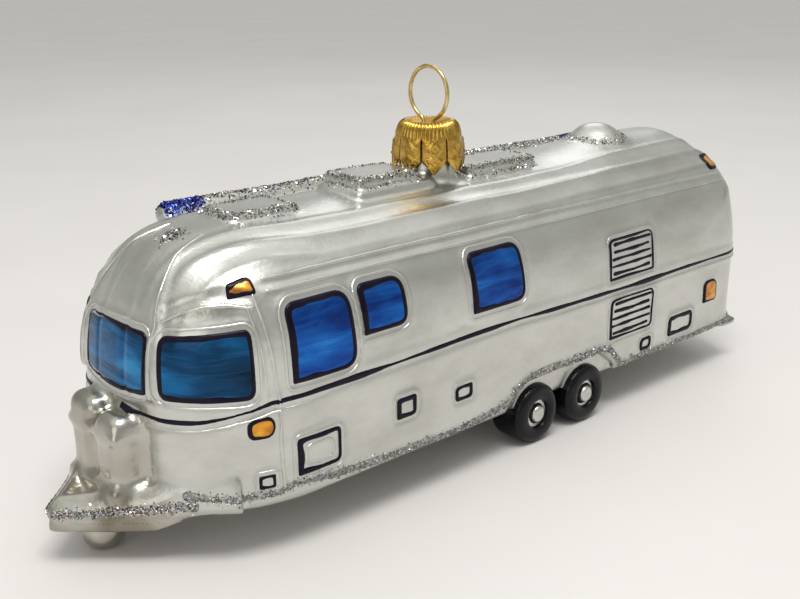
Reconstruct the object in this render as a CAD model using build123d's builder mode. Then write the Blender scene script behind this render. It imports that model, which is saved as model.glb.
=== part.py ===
"""Mouth-blown glass tree ornament in the form of a rounded twin-axle travel caravan.

One thin hollow glass blow, silvered and frosted, carries fired-on enamel (windows, outlines,
lamps, tyres) and lines of glued glitter.  A stamped gold crown cap with eight leaves sits over
the glass neck, and a wire bail passes through the cap's hole, its two spring legs inside the neck.
The wheels, the drawbar, the gas-bottle cover and the roof units are all part of the glass.

Millimetres.  +X runs to the hitch, +Y to the caravan's left side, +Z up.  The origin is on the
surface that the wheels and the jack foot stand on, under the middle of the overall length.
"""

import os
from math import asin, atan2, cos, degrees, radians, sin, sqrt, tan

from build123d import *

os.makedirs("parts", exist_ok=True)

# ---- Driving dimensions: the coach -------------------------------------------------------
OVERALL_LENGTH = 165.0  # hitch tip to tail
COACH_HALF_WIDTH = 22.7  # at the belt line, where the coach is widest
TUMBLEHOME = 3.3  # how far the side leans in between belt and eave
SKIRT_Z = 8.2  # underside of the coach
SKIRT_CHAMFER = 0.8
BELT_Z = 26.0
EAVE_Z = 43.8
ROOF_Z = 50.3
EAVE_RADIUS = 4.0
HITCH_REACH = 13.1  # hitch tip ahead of the nose
NOSE_CORNER = 12.5  # plan radius of the front corners
TAIL_CORNER = 10.0
NOSE_ARC = 42.0  # plan radius of the gently curved nose
TAIL_ARC = 90.0
NOSE_RUN = 21.7  # length over which the roof falls to the nose
NOSE_ROOF = 30.0  # side-view radius of that fall
TAIL_RUN = 11.5
TAIL_ROOF = 13.0
TAIL_LIP = 0.5  # how far the skirt's square tail corners stand out
TAIL_LIP_HEIGHT = 1.3
TAIL_LIP_START = 4.8  # from the tail to the lip's square corners
GLASS_WALL = 0.9
RELIEF = 0.3  # how far a moulded frame stands out of the skin
ENAMEL = 0.15  # thickness of the fired enamel
GLITTER = 0.35  # thickness of a glued glitter line
CLEAR = 0.5  # enamel and glitter keep this far from the piece they stop at
THROUGH = 40.0  # a sketch drawn on the middle plane is cut this far, past the coach's side

# ---- Driving dimensions: wheels, drawbar, gas cover --------------------------------------
WHEEL_RADIUS = 6.0
WHEEL_FACE = 0.5  # how far a wheel stands out beyond the coach side
WHEEL_WIDTH = 7.5
WHEEL_BEVEL = 0.6  # tread to sidewall
RIM_RADIUS = 2.9  # edge of the dished wheel centre
RIM_DEPTH = 0.5
HUB_RADIUS = 1.4
WHEEL_X = (-7.0, -21.8)
ARCH_DEPTH = 1.6
ARCH_TOP = 5.4  # top of the arch above the skirt
DRAWBAR_BOTTOM = 5.3
DRAWBAR_TOP = 10.6  # at the hitch
DRAWBAR_RISE = 3.0  # how much higher it is at the nose
DRAWBAR_HALF_WIDTH = 14.0
HITCH_RADIUS = 2.4
JACK_RADIUS = 3.5
JACK_BEHIND_HITCH = 9.3
BOTTLE_RADIUS = 3.9  # the two lobes of the gas cover
BOTTLE_SPREAD = 3.7
GAS_REACH = 4.8  # how far the gas cover stands out of the nose
GAS_TOP = 25.2

# ---- Driving dimensions: cap and bail ----------------------------------------------------
NECK_X = 0.7
NECK_RADIUS = 5.2
NECK_BORE = 4.2
NECK_HEIGHT = 8.2
CAP_RADIUS = 6.3
CAP_SHEET = 0.35
CAP_CLEARANCE = 0.25  # cap over neck
CAP_SKIRT = 6.4  # leaf tips below the neck's rim
CAP_HOLE = 1.5
CROWN_RISE = 2.0
LEAVES = 8
LEAF_POINT = 2.4  # height of a leaf's pointed end
SLIT = 0.5
SLIT_TOP = 1.6  # below the neck's rim
LOZENGE_RISE = 3.3  # lozenge's centre above the leaf tip
LOZENGE = (2.2, 2.8, 0.3)  # width, height and proudness of a leaf's pressed lozenge
WIRE = 0.4  # bail wire radius
RING_RADIUS = 4.8
RING_RISE = 5.8  # ring centre above the cap's top
LEG_LENGTH = 10.0
LEG_GAP = 0.15  # between a leg's foot and the neck's bore
LEG_SPREAD = 0.6  # from the middle to each leg, where they pass the cap's hole
WIRE_BEND = 1.0

NOSE_X = OVERALL_LENGTH / 2 - HITCH_REACH
TAIL_X = TAIL_LIP - OVERALL_LENGTH / 2
HITCH_X = OVERALL_LENGTH / 2
SIDE_ARC = (TUMBLEHOME**2 + (EAVE_Z - BELT_Z) ** 2) / (2 * TUMBLEHOME)
EAVE_Y = COACH_HALF_WIDTH - TUMBLEHOME
ROOF_ARC = (EAVE_Y**2 + (ROOF_Z - EAVE_Z) ** 2) / (2 * (ROOF_Z - EAVE_Z))
ROOF_ARC_Z = ROOF_Z - ROOF_ARC
NECK_TOP = ROOF_Z + NECK_HEIGHT
CAP_TOP = NECK_TOP + CROWN_RISE
RING_Z = CAP_TOP + RING_RISE
WHEEL_Y = COACH_HALF_WIDTH + WHEEL_FACE
LEFT = 1
RIGHT = -1
SIDES = (LEFT, RIGHT)


def corner_centre(tip, sign, arc, corner):
    """Plan centre of an end arc, and of the corner arc that runs into it."""
    axis_x = tip - sign * arc
    cy = COACH_HALF_WIDTH - corner
    run = sqrt((arc - corner) ** 2 - cy**2)
    return axis_x, axis_x + sign * run, cy, degrees(atan2(cy, run))


NOSE_AXIS, NOSE_CX, NOSE_CY, NOSE_ANGLE = corner_centre(NOSE_X, 1, NOSE_ARC, NOSE_CORNER)
TAIL_AXIS, TAIL_CX, TAIL_CY, TAIL_ANGLE = corner_centre(TAIL_X, -1, TAIL_ARC, TAIL_CORNER)


def roof_height(y):
    """Height of the roof's outer face at y, over the straight part of the coach."""
    return ROOF_ARC_Z + sqrt(ROOF_ARC**2 - y**2)


def lean(z):
    """How far the wall has leaned in at a height above the belt line."""
    return SIDE_ARC - sqrt(SIDE_ARC**2 - max(z - BELT_Z, 0) ** 2)


# ---- The coach skin ----------------------------------------------------------------------
ROOF_SPARE = 0.9  # the roof block is wider than the coach by this on each side
WALL_SPARE = 2.0  # the wall profile runs this far above the roof, which trims it
SHARP_EDGE = 8  # degrees between two faces that meet at an edge worth rounding


def wall_face(plane, reach, grow):
    """Upright wall profile, from an axis out to `reach` at the belt line."""
    r = reach + grow
    floor = SKIRT_Z - grow
    top = ROOF_Z + WALL_SPARE
    arc = SIDE_ARC + grow
    sweep_angle = asin((top - BELT_Z) / arc)
    middle = (r - arc * (1 - cos(sweep_angle / 2)), BELT_Z + arc * sin(sweep_angle / 2))
    shoulder = (r - arc * (1 - cos(sweep_angle)), top)
    with BuildSketch(plane) as profile:
        with BuildLine():
            Polyline((0, top), (0, floor), (r - SKIRT_CHAMFER, floor))
            Polyline((r - SKIRT_CHAMFER, floor), (r, floor + SKIRT_CHAMFER), (r, BELT_Z))
            ThreePointArc((r, BELT_Z), middle, shoulder)
            Line(shoulder, (0, top))
        make_face()
    return profile.sketch


def wall_sector(ox, oy, start, stop, reach, grow):
    """Wall profile turned about an upright axis at (ox, oy), between two compass angles."""
    a = radians(start)
    plane = Plane(origin=(ox, oy, 0), x_dir=(cos(a), sin(a), 0), z_dir=(sin(a), -cos(a), 0))
    revolve(
        wall_face(plane, reach, grow), axis=Axis((ox, oy, 0), (0, 0, 1)), revolution_arc=stop - start
    )


def roof_face(plane, low, grow):
    """Cross-section of the roof block down to `low`, a little wider than the coach."""
    half = COACH_HALF_WIDTH + ROOF_SPARE
    edge = ROOF_ARC_Z + sqrt((ROOF_ARC + grow) ** 2 - half**2)
    with BuildSketch(plane) as profile:
        with BuildLine():
            Polyline((-half, edge), (-half, low), (half, low), (half, edge))
            ThreePointArc((half, edge), (0, ROOF_Z + grow), (-half, edge))
        make_face()
    return profile.sketch


def is_sharp(edge, body):
    """Whether the two faces along an edge meet at a corner."""
    sides = [face for face in body.faces() if any(edge.is_same(other) for other in face.edges())]
    if len(sides) != 2:
        return False
    spot = edge @ 0.5
    return sides[0].normal_at(spot).get_angle(sides[1].normal_at(spot)) > SHARP_EDGE


def coach_form(grow):
    """The whole coach with sharp eaves, its skin moved outwards by `grow`."""
    fall_x = NOSE_X - NOSE_RUN
    tail_fall_x = TAIL_X + TAIL_RUN
    with BuildPart() as form:
        wall_sector(NOSE_AXIS, 0, -NOSE_ANGLE, NOSE_ANGLE, NOSE_ARC, grow)
        wall_sector(NOSE_CX, NOSE_CY, NOSE_ANGLE, 90, NOSE_CORNER, grow)
        wall_sector(NOSE_CX, -NOSE_CY, -90, -NOSE_ANGLE, NOSE_CORNER, grow)
        wall_sector(TAIL_AXIS, 0, 180 - TAIL_ANGLE, 180 + TAIL_ANGLE, TAIL_ARC, grow)
        wall_sector(TAIL_CX, TAIL_CY, 90, 180 - TAIL_ANGLE, TAIL_CORNER, grow)
        wall_sector(TAIL_CX, -TAIL_CY, 180 + TAIL_ANGLE, 270, TAIL_CORNER, grow)
        with BuildSketch(Plane.YZ.offset(TAIL_CX)):
            add(wall_face(Plane.XY, COACH_HALF_WIDTH, grow))
            mirror(about=Plane.YZ)
        extrude(amount=NOSE_CX - TAIL_CX)
        with BuildPart(mode=Mode.INTERSECT):
            extrude(roof_face(Plane.YZ.offset(tail_fall_x), 0, grow), amount=fall_x - tail_fall_x)
            for x, radius, way in ((fall_x, NOSE_ROOF, 1), (tail_fall_x, TAIL_ROOF, -1)):
                pivot = ROOF_Z - radius
                revolve(
                    roof_face(Plane.YZ.offset(x), pivot, grow),
                    axis=Axis((x, 0, pivot), (0, way, 0)),
                    revolution_arc=90,
                )
                with BuildSketch(Plane.YZ.offset(x)):
                    with Locations((0, pivot / 2)):
                        Rectangle(2 * (COACH_HALF_WIDTH + ROOF_SPARE), pivot)
                extrude(amount=way * (radius + grow))
    return form.part


def rounded_coach():
    """The coach's outer form, with its eaves rounded all the way round."""
    body = coach_form(0)
    eaves = [edge for edge in body.edges() if edge.center().Z > BELT_Z + 8 and is_sharp(edge, body)]
    return body.fillet(EAVE_RADIUS, eaves)


def coach_plan(grow):
    """Outline of the coach at the belt line, seen from above."""
    side = COACH_HALF_WIDTH + grow
    with BuildSketch() as plan:
        with BuildLine():
            CenterArc((NOSE_AXIS, 0), NOSE_ARC + grow, -NOSE_ANGLE, 2 * NOSE_ANGLE)
            CenterArc((NOSE_CX, NOSE_CY), NOSE_CORNER + grow, NOSE_ANGLE, 90 - NOSE_ANGLE)
            Line((NOSE_CX, side), (TAIL_CX, side))
            CenterArc((TAIL_CX, TAIL_CY), TAIL_CORNER + grow, 90, 90 - TAIL_ANGLE)
            CenterArc((TAIL_AXIS, 0), TAIL_ARC + grow, 180 - TAIL_ANGLE, 2 * TAIL_ANGLE)
            CenterArc((TAIL_CX, -TAIL_CY), TAIL_CORNER + grow, 180 + TAIL_ANGLE, 90 - TAIL_ANGLE)
            Line((TAIL_CX, -side), (NOSE_CX, -side))
            CenterArc((NOSE_CX, -NOSE_CY), NOSE_CORNER + grow, 270, 90 - NOSE_ANGLE)
        make_face()
    return plan.sketch


def plan_slab(grow, low, high):
    """Level slab of the coach's plan."""
    with BuildPart() as slab:
        with BuildSketch(Plane.XY.offset(low)):
            add(coach_plan(grow))
        extrude(amount=high - low)
    return slab.part


def plan_band(inner, outer, low, high):
    """Upright band round the coach below the belt line, between two offsets of its skin."""
    return plan_slab(outer, low, high) - plan_slab(inner, low, high)


COACH = rounded_coach()

# ---- Painted panels: centre x, centre z, width, height, corner radius ----------------------
PANE_Z = BELT_Z + 9.7
DOOR = (NOSE_X - 54.4, (SKIRT_Z + EAVE_Z) / 2 + 0.4, 12.6, EAVE_Z - SKIRT_Z - 6.0, 2.0)
SIDE_PANES = {
    LEFT: (
        (NOSE_X - 24.9, BELT_Z + 8.45, 12.4, 11.7, 2.2),
        (NOSE_X - 37.9, BELT_Z + 10.4, 8.9, 7.8, 1.8),
        (NOSE_X - 64.6, PANE_Z, 13.3, 10.0, 1.8),
    ),
    RIGHT: (
        (NOSE_X - 24.9, BELT_Z + 8.45, 12.4, 11.7, 2.2),
        (TAIL_X + 67.0, PANE_Z, 13.3, 10.0, 1.8),
        (TAIL_X + 33.0, PANE_Z, 13.3, 10.0, 1.8),
        (DOOR[0], BELT_Z + 9.0, 6.4, 8.0, 1.2),
    ),
}
# Outlined hatches and grilles without a pane
SIDE_FRAMES = {
    LEFT: (
        (TAIL_X + 46.5, BELT_Z + 6.45, 15.0, 8.5, 1.2),
        (TAIL_X + 45.9, SKIRT_Z + 11.7, 14.6, 8.8, 1.2),
        (NOSE_X - 23.1, SKIRT_Z + 7.45, 8.9, 6.3, 1.0),
        (NOSE_X - 41.8, SKIRT_Z + 9.35, 4.6, 3.1, 0.8),
        (NOSE_X - 56.1, SKIRT_Z + 8.0, 4.0, 2.3, 0.7),
        (TAIL_X + 27.5, SKIRT_Z + 5.2, 8.7, 4.7, 1.0),
        (NOSE_X - 12.7, SKIRT_Z + 6.1, 2.9, 2.5, 0.7),
    ),
    RIGHT: (
        (NOSE_X - 23.1, SKIRT_Z + 7.45, 8.9, 6.3, 1.0),
        (TAIL_X + 27.5, SKIRT_Z + 6.6, 8.7, 4.7, 1.0),
        DOOR,
        (NOSE_X - 12.7, SKIRT_Z + 6.1, 2.9, 2.5, 0.7),
    ),
}
# Grilles: centre x, centre z, slat length, slat pitch, slat count
SIDE_SLATS = {
    LEFT: (
        (TAIL_X + 46.5, BELT_Z + 6.45, 12.0, 1.35, 5),
        (TAIL_X + 45.9, SKIRT_Z + 11.7, 11.6, 1.4, 5),
    ),
    RIGHT: (),
}
SLAT = 0.45
# Lamps on the upright wall (centre x, centre z, width, height) and on the eaves (centre x, width, height)
WALL_LAMPS = ((NOSE_X - 12.2, BELT_Z - 3.4, 4.6, 2.4), (TAIL_X + 16.5, SKIRT_Z + 10.5, 4.6, 3.4))
EAVE_LAMPS = ((NOSE_X - 13.9, 5.2, 2.4), (TAIL_X + 14.0, 5.0, 2.4))
LAMP_TILT = 38  # degrees that an eave lamp faces above level
EAVE_FOLLOW = 1.4  # how much further than the roof the eave comes down, along the leaning wall
LINE = 0.75  # width of a painted outline
HALO = 0.9  # how far a moulded frame runs beyond its outline
LAMP_HALO = 0.6
# End panes: centre z, width, height, corner radius
FRONT_PANE = (BELT_Z + 6.7, 17.4, 10.0, 2.2)
CORNER_PANE = (BELT_Z + 7.0, 14.6, 10.0, 2.0)
REAR_PANE = (BELT_Z + 7.6, 25.0, 9.6, 2.2)
CORNER_TURN = 42.5  # compass direction that a front corner pane faces
BELT_HEIGHT = 2.0  # of the moulded ridge that carries the belt line
BELT_LINE = 0.8


def frames(panels, outer, inner):
    """Rounded frames round the panels, from `outer` beyond the panel's edge to `inner` inside it."""
    for x, z, width, height, radius in panels:
        with Locations((x, z)):
            RectangleRounded(width + 2 * outer, height + 2 * outer, radius + outer)
            if inner:
                cut = max(radius - inner, 0.3)
                RectangleRounded(width - 2 * inner, height - 2 * inner, cut, mode=Mode.SUBTRACT)


def side_skin(side, inner, outer):
    """Layer over one side of the coach, between two offsets of its skin.

    Below the belt it goes on round the front corner.
    """
    with BuildPart() as corner:
        add(plan_band(inner, outer, SKIRT_Z, BELT_Z))
        with BuildSketch(Plane.XY.offset(SKIRT_Z)):
            with Locations((NOSE_CX + NOSE_CORNER / 2, side * THROUGH / 2)):
                Rectangle(NOSE_CORNER, THROUGH)
        extrude(amount=BELT_Z - SKIRT_Z, mode=Mode.INTERSECT)
    with BuildPart() as skin:
        with BuildSketch(Plane.YZ.offset(TAIL_CX)):
            add(wall_face(Plane.XY, COACH_HALF_WIDTH, outer))
            add(wall_face(Plane.XY, COACH_HALF_WIDTH, inner), mode=Mode.SUBTRACT)
            if side == RIGHT:
                mirror(about=Plane.YZ, mode=Mode.REPLACE)
        extrude(amount=NOSE_CX - TAIL_CX)
        add(corner.part)
    return skin.part


PANE_SPARE = 2.0  # an end pane's band runs this far past the pane before it is cut


def end_panel(ox, oy, reach, facing, panel, inner, outer, edge, hole=0.0):
    """Layer over a curved end pane: a straight band turned about (ox, oy), cut to the pane.

    The band follows the chord of the leaning wall and clears its bulge; `edge` and `hole` are how
    far the layer runs beyond the pane's edge and how far inside it the layer is open.
    """
    centre_z, width, height, radius = panel
    low, high = centre_z - height / 2, centre_z + height / 2
    slope = (lean(high) - lean(low)) / height
    bulge = height**2 / (8 * SIDE_ARC)
    turn = radians(facing)
    spread = degrees(asin((width / 2 + PANE_SPARE) / reach))
    start = radians(facing - spread)
    across = Plane(origin=(ox, oy, 0), x_dir=(cos(start), sin(start), 0), z_dir=(sin(start), -cos(start), 0))
    view = Plane(origin=(ox, oy, 0), x_dir=(-sin(turn), cos(turn), 0), z_dir=(cos(turn), sin(turn), 0))

    below, above = low - PANE_SPARE, high + PANE_SPARE

    def at(offset, z):
        return reach - lean(low) - slope * (z - low) + bulge + offset, z

    with BuildPart() as layer:
        with BuildSketch(across):
            Polygon(at(inner, below), at(outer, below), at(outer, above), at(inner, above), align=None)
        revolve(axis=Axis((ox, oy, 0), (0, 0, 1)), revolution_arc=2 * spread)
        with BuildSketch(view):
            frames(((0, centre_z, width, height, radius),), edge, hole)
        extrude(amount=reach + PANE_SPARE, mode=Mode.INTERSECT)
    return layer.part


def front_panels(*layer):
    """The nose pane and the two front corner panes, as one layer of each."""
    return [
        end_panel(NOSE_AXIS, 0, NOSE_ARC, 0, FRONT_PANE, *layer),
        end_panel(NOSE_CX, NOSE_CY, NOSE_CORNER, CORNER_TURN, CORNER_PANE, *layer),
        end_panel(NOSE_CX, -NOSE_CY, NOSE_CORNER, -CORNER_TURN, CORNER_PANE, *layer),
    ]


def rear_panel(*layer):
    return end_panel(TAIL_AXIS, 0, TAIL_ARC, 180, REAR_PANE, *layer)


def eave_point(x, side):
    """Point on the eave at x, along the straight roof or where it falls to an end."""
    ahead, behind = x - (NOSE_X - NOSE_RUN), TAIL_X + TAIL_RUN - x
    run, radius = (ahead, NOSE_ROOF) if ahead > behind else (behind, TAIL_ROOF)
    fall = radius - sqrt(radius**2 - max(run, 0) ** 2)
    z = EAVE_Z - EAVE_FOLLOW * fall
    return Vector(x, side * (COACH_HALF_WIDTH - lean(z)), z)


def eave_lamps(low, high, grow):
    """Small blocks standing square to the rounded eave, one for each eave lamp."""
    tilt = radians(LAMP_TILT)
    with BuildPart() as lamps:
        for side in SIDES:
            outward = Vector(0, side * cos(tilt), sin(tilt))
            for x, width, height in EAVE_LAMPS:
                along = eave_point(x + width / 2, side) - eave_point(x - width / 2, side)
                square = along.cross(outward.cross(along))
                plane = Plane(origin=eave_point(x, side), x_dir=along, z_dir=square)
                with BuildSketch(plane.offset(low)):
                    RectangleRounded(width + 2 * grow, height + 2 * grow, height / 2 - 0.1)
                extrude(amount=high - low)
    return lamps.part


# ---- Glass parts drawn on their own --------------------------------------------------------
def tail_lip(grow):
    """Plate under the coach whose square corners stand out of the round tail corners."""
    with BuildPart() as lip:
        with Locations((TAIL_X + (TAIL_LIP_START + TAIL_CORNER) / 2, 0, SKIRT_Z)):
            Box(
                TAIL_CORNER - TAIL_LIP_START + 2 * grow,
                2 * (COACH_HALF_WIDTH + TAIL_LIP + grow),
                TAIL_LIP_HEIGHT + grow,
                align=(Align.CENTER, Align.CENTER, Align.MIN),
            )
    return lip.part


def drawbar_plan(grow):
    """Outline of the drawbar seen from above, from inside the coach out to the hitch tip."""
    with BuildSketch() as plan:
        with BuildLine():
            Polyline(
                (NOSE_X - 8, -DRAWBAR_HALF_WIDTH - 2),
                (NOSE_X - 2.2, -DRAWBAR_HALF_WIDTH),
                (HITCH_X - 0.9, -HITCH_RADIUS),
                (HITCH_X, 0),
                (HITCH_X - 0.9, HITCH_RADIUS),
                (NOSE_X - 2.2, DRAWBAR_HALF_WIDTH),
                (NOSE_X - 8, DRAWBAR_HALF_WIDTH + 2),
                close=True,
            )
        make_face()
        if grow:
            offset(amount=grow)
    return plan.sketch


with BuildPart() as drawbar_block:
    with BuildSketch(Plane.XY.offset(DRAWBAR_BOTTOM)):
        add(drawbar_plan(0))
    extrude(amount=DRAWBAR_TOP + DRAWBAR_RISE - DRAWBAR_BOTTOM)
    with BuildSketch(Plane.XZ):
        Polygon(
            (HITCH_X + 1, DRAWBAR_TOP),
            (HITCH_X - 4, DRAWBAR_TOP),
            (NOSE_X - 2, DRAWBAR_TOP + DRAWBAR_RISE),
            (NOSE_X - 9, DRAWBAR_TOP + DRAWBAR_RISE),
            (NOSE_X - 9, DRAWBAR_BOTTOM),
            (HITCH_X + 1, DRAWBAR_BOTTOM),
            align=None,
        )
    extrude(amount=2 * DRAWBAR_HALF_WIDTH, both=True, mode=Mode.INTERSECT)
    chamfer(drawbar_block.faces().sort_by(Axis.Z)[0].edges(), length=1.1)
    slopes = drawbar_block.faces().filter_by(lambda face: 0.5 < face.normal_at().Z < 0.999)
    shoulders = slopes.edges().filter_by(lambda edge: abs(edge.center().Y) > HITCH_RADIUS)
    chamfer(shoulders, length=0.7)

with BuildPart() as gas_block:
    with BuildSketch(Plane.XY.offset(DRAWBAR_TOP - 1.5)):
        with Locations((NOSE_X - 2, 0)):
            Rectangle(5, 2 * (BOTTLE_SPREAD + BOTTLE_RADIUS) - 2)
        for side in SIDES:
            with Locations((NOSE_X + GAS_REACH - BOTTLE_RADIUS, side * BOTTLE_SPREAD)):
                Circle(BOTTLE_RADIUS)
    extrude(amount=GAS_TOP - DRAWBAR_TOP + 1.5)
    fillet(gas_block.faces().sort_by(Axis.Z)[-1].edges(), radius=1.6)


def wheel_face(side, x, grow):
    """Half-section of a wheel through its axle, from its inner face out to its dished centre."""
    width = WHEEL_WIDTH + grow
    tread = WHEEL_RADIUS + grow
    dish = width - RIM_DEPTH
    rim = RIM_RADIUS - grow
    hub = (x, side * (WHEEL_Y - WHEEL_WIDTH), WHEEL_RADIUS)
    with BuildSketch(Plane(origin=hub, x_dir=(0, side, 0), z_dir=(1, 0, 0))) as section:
        Polygon(
            (0, 0),
            (0, tread),
            (width - WHEEL_BEVEL, tread),
            (width, tread - WHEEL_BEVEL),
            (width, rim),
            (dish, rim),
            (dish, 0),
            align=None,
        )
    return section.sketch, Axis(hub, (0, 1, 0))


def wheels(grow):
    """The four wheels, added to the part being built."""
    for side in SIDES:
        for x in WHEEL_X:
            section, axle = wheel_face(side, x, grow)
            revolve(section, axis=axle)


with BuildPart() as wheel_blocks:
    wheels(-ENAMEL)

with BuildPart() as hub_blocks:
    for side in SIDES:
        with BuildSketch(Plane.XZ.offset(-side * (WHEEL_Y + 0.1))):
            for x in WHEEL_X:
                with Locations((x, WHEEL_RADIUS)):
                    Circle(HUB_RADIUS)
        extrude(amount=side * (RIM_DEPTH + 0.8))

with BuildPart() as arch_blocks:
    for side in SIDES:
        with BuildSketch(Plane.XZ.offset(-side * (COACH_HALF_WIDTH + 2))):
            Polygon(
                (WHEEL_X[0] + 8.2, SKIRT_Z - 2),
                (WHEEL_X[0] + 7.8, SKIRT_Z + 2.0),
                (WHEEL_X[0] + 3.6, SKIRT_Z + ARCH_TOP),
                (WHEEL_X[1] - 4.6, SKIRT_Z + ARCH_TOP),
                (WHEEL_X[1] - 9.4, SKIRT_Z + 2.0),
                (WHEEL_X[1] - 10.4, SKIRT_Z - 2),
                align=None,
            )
        extrude(amount=side * (ARCH_DEPTH + 2))

# ---- Roof fittings -------------------------------------------------------------------------
ROOF_UNITS = (
    # centre x, length, half width, rise above the roof, whether glitter runs round its foot
    (NOSE_X - 27.2, 13.4, 5.0, 1.0, True),
    (NECK_X + 13.3, 18.6, 6.0, 1.0, False),
    (NECK_X + 14.3, 14.4, 5.0, 3.2, True),
    (NECK_X - 16.0, 19.2, 5.0, 1.8, True),
)
UNIT_TAPER = 14
UNIT_CORNER = 1.6
UNIT_ROOT = 1.6  # how far a unit's foot starts below the roof's top
TRIM = 0.8  # width of a glitter line round a unit's or the dome's foot
DOME_X = TAIL_X + 31.0
DOME_RADIUS = 6.4
DOME_RISE = 4.0
DOME_CURVE = ((1.0, 0.1), (0.75, 0.62), (0.38, 0.92), (0.0, 1.0))  # shares of its radius and rise
AWNING_Y = -(EAVE_Y - 4.2)
AWNING_RADIUS = 2.1
AWNING_Z = roof_height(AWNING_Y) + AWNING_RADIUS * 0.7
AWNING_OPEN = 0.5  # its glitter ends this far above the roll's axis
AWNING_X = (TAIL_X + 14.0, NOSE_X - 19.4)
AWNING_ENDS = ((AWNING_X[0], AWNING_X[0] + 11.0), (AWNING_X[1] - 7.5, AWNING_X[1]))

with BuildPart() as roof_blocks:
    for x, length, half, rise, _ in ROOF_UNITS:
        with BuildSketch(Plane.XY.offset(ROOF_Z - UNIT_ROOT)):
            with Locations((x, 0)):
                RectangleRounded(length, 2 * half, UNIT_CORNER)
        extrude(amount=UNIT_ROOT + rise, taper=UNIT_TAPER)

with BuildPart() as dome_block:
    with BuildSketch(Plane.XZ):
        with BuildLine():
            Polyline(
                (0, ROOF_Z - UNIT_ROOT),
                (DOME_RADIUS, ROOF_Z - UNIT_ROOT),
                *[(DOME_RADIUS * out, ROOF_Z + DOME_RISE * up) for out, up in DOME_CURVE],
                close=True,
            )
        make_face()
    revolve(axis=Axis.Z)
dome_block.part = dome_block.part.moved(Location((DOME_X, 0, 0)))

with BuildPart() as awning_block:
    with BuildSketch(Plane.YZ.offset(AWNING_X[0])):
        with Locations((AWNING_Y, AWNING_Z)):
            Circle(AWNING_RADIUS)
    extrude(amount=AWNING_X[1] - AWNING_X[0])

# ---- Glass body ----------------------------------------------------------------------------
PAD_ROOT = -1.2  # moulded pads start inside the glass wall

with BuildPart() as side_pads:
    for side in SIDES:
        with BuildPart():
            add(side_skin(side, PAD_ROOT, RELIEF))
            with BuildSketch(Plane.XZ):
                frames(SIDE_PANES[side], HALO, 0)
                frames(SIDE_FRAMES[side], HALO, 0)
                for x, z, width, height in WALL_LAMPS:
                    with Locations((x, z)):
                        RectangleRounded(width + 2 * LAMP_HALO, height + 2 * LAMP_HALO, height / 2)
            extrude(amount=-side * THROUGH, mode=Mode.INTERSECT)

with BuildPart() as glass_body:
    pads = [*front_panels(PAD_ROOT, RELIEF, HALO), rear_panel(PAD_ROOT, RELIEF, HALO)]
    belt = plan_slab(RELIEF, BELT_Z - BELT_HEIGHT / 2, BELT_Z + BELT_HEIGHT / 2)
    add([COACH, side_pads.part, *pads, belt, eave_lamps(-2.0, RELIEF, LAMP_HALO)])
    add(arch_blocks.part, mode=Mode.SUBTRACT)
    add([tail_lip(0), drawbar_block.part, gas_block.part, wheel_blocks.part, hub_blocks.part])
    add([roof_blocks.part, dome_block.part, awning_block.part])
    with BuildSketch(Plane.XY):
        with Locations((HITCH_X - JACK_BEHIND_HITCH, 0)):
            Circle(JACK_RADIUS)
    extrude(amount=DRAWBAR_BOTTOM + 1)
    chamfer(glass_body.faces().sort_by(Axis.Z)[0].edges(), length=1.0)
    with BuildSketch(Plane.XY.offset(ROOF_Z - 0.4)):
        with Locations((NECK_X, 0)):
            Circle(NECK_RADIUS)
    extrude(amount=NECK_HEIGHT + 0.4)
    with BuildPart(mode=Mode.SUBTRACT):
        add(coach_form(-GLASS_WALL))
        for side in SIDES:
            with Locations(((WHEEL_X[0] + WHEEL_X[1]) / 2 - 1.1, side * COACH_HALF_WIDTH, SKIRT_Z)):
                Box(
                    WHEEL_X[0] - WHEEL_X[1] + 20.5,
                    2 * (ARCH_DEPTH + GLASS_WALL),
                    2 * (ARCH_TOP + GLASS_WALL),
                    mode=Mode.SUBTRACT,
                )
    with BuildSketch(Plane.XY.offset(ROOF_Z - 3)):
        with Locations((NECK_X, 0)):
            Circle(NECK_BORE)
    extrude(amount=NECK_HEIGHT + 4, mode=Mode.SUBTRACT)
glass_body.part.label = "glass_body"

# ---- Fired enamel --------------------------------------------------------------------------
FILM = (RELIEF, RELIEF + ENAMEL)


def side_enamel(side, draw):
    """Enamel over the moulded pads of one side, in the shapes that `draw` sketches."""
    with BuildPart() as film:
        add(side_skin(side, *FILM))
        with BuildSketch(Plane.XZ):
            draw()
        extrude(amount=-side * THROUGH, mode=Mode.INTERSECT)
    return film


def draw_outlines(side):
    """Painted outlines of a side's panes, hatches and grilles, with the grilles' slats."""
    frames(SIDE_PANES[side], 0, LINE)
    frames(SIDE_FRAMES[side], 0, LINE * 0.6)
    for x, z, length, pitch, count in SIDE_SLATS[side]:
        with Locations((x, z)):
            with GridLocations(1, pitch, 1, count):
                Rectangle(length, SLAT)


def draw_lamps():
    for x, z, width, height in WALL_LAMPS:
        with Locations((x, z)):
            RectangleRounded(width, height, height / 2 - 0.05)


window_enamel_left = side_enamel(LEFT, lambda: frames(SIDE_PANES[LEFT], -LINE, 0))
window_enamel_left.part.label = "window_enamel_left"

window_enamel_right = side_enamel(RIGHT, lambda: frames(SIDE_PANES[RIGHT], -LINE, 0))
window_enamel_right.part.label = "window_enamel_right"

with BuildPart() as window_enamel_front:
    for pane in front_panels(*FILM, -LINE):
        add(pane)
window_enamel_front.part.label = "window_enamel_front"

with BuildPart() as window_enamel_rear:
    add(rear_panel(*FILM, -LINE))
window_enamel_rear.part.label = "window_enamel_rear"

outline_enamel_left = side_enamel(LEFT, lambda: draw_outlines(LEFT))
outline_enamel_left.part.label = "outline_enamel_left"

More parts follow.
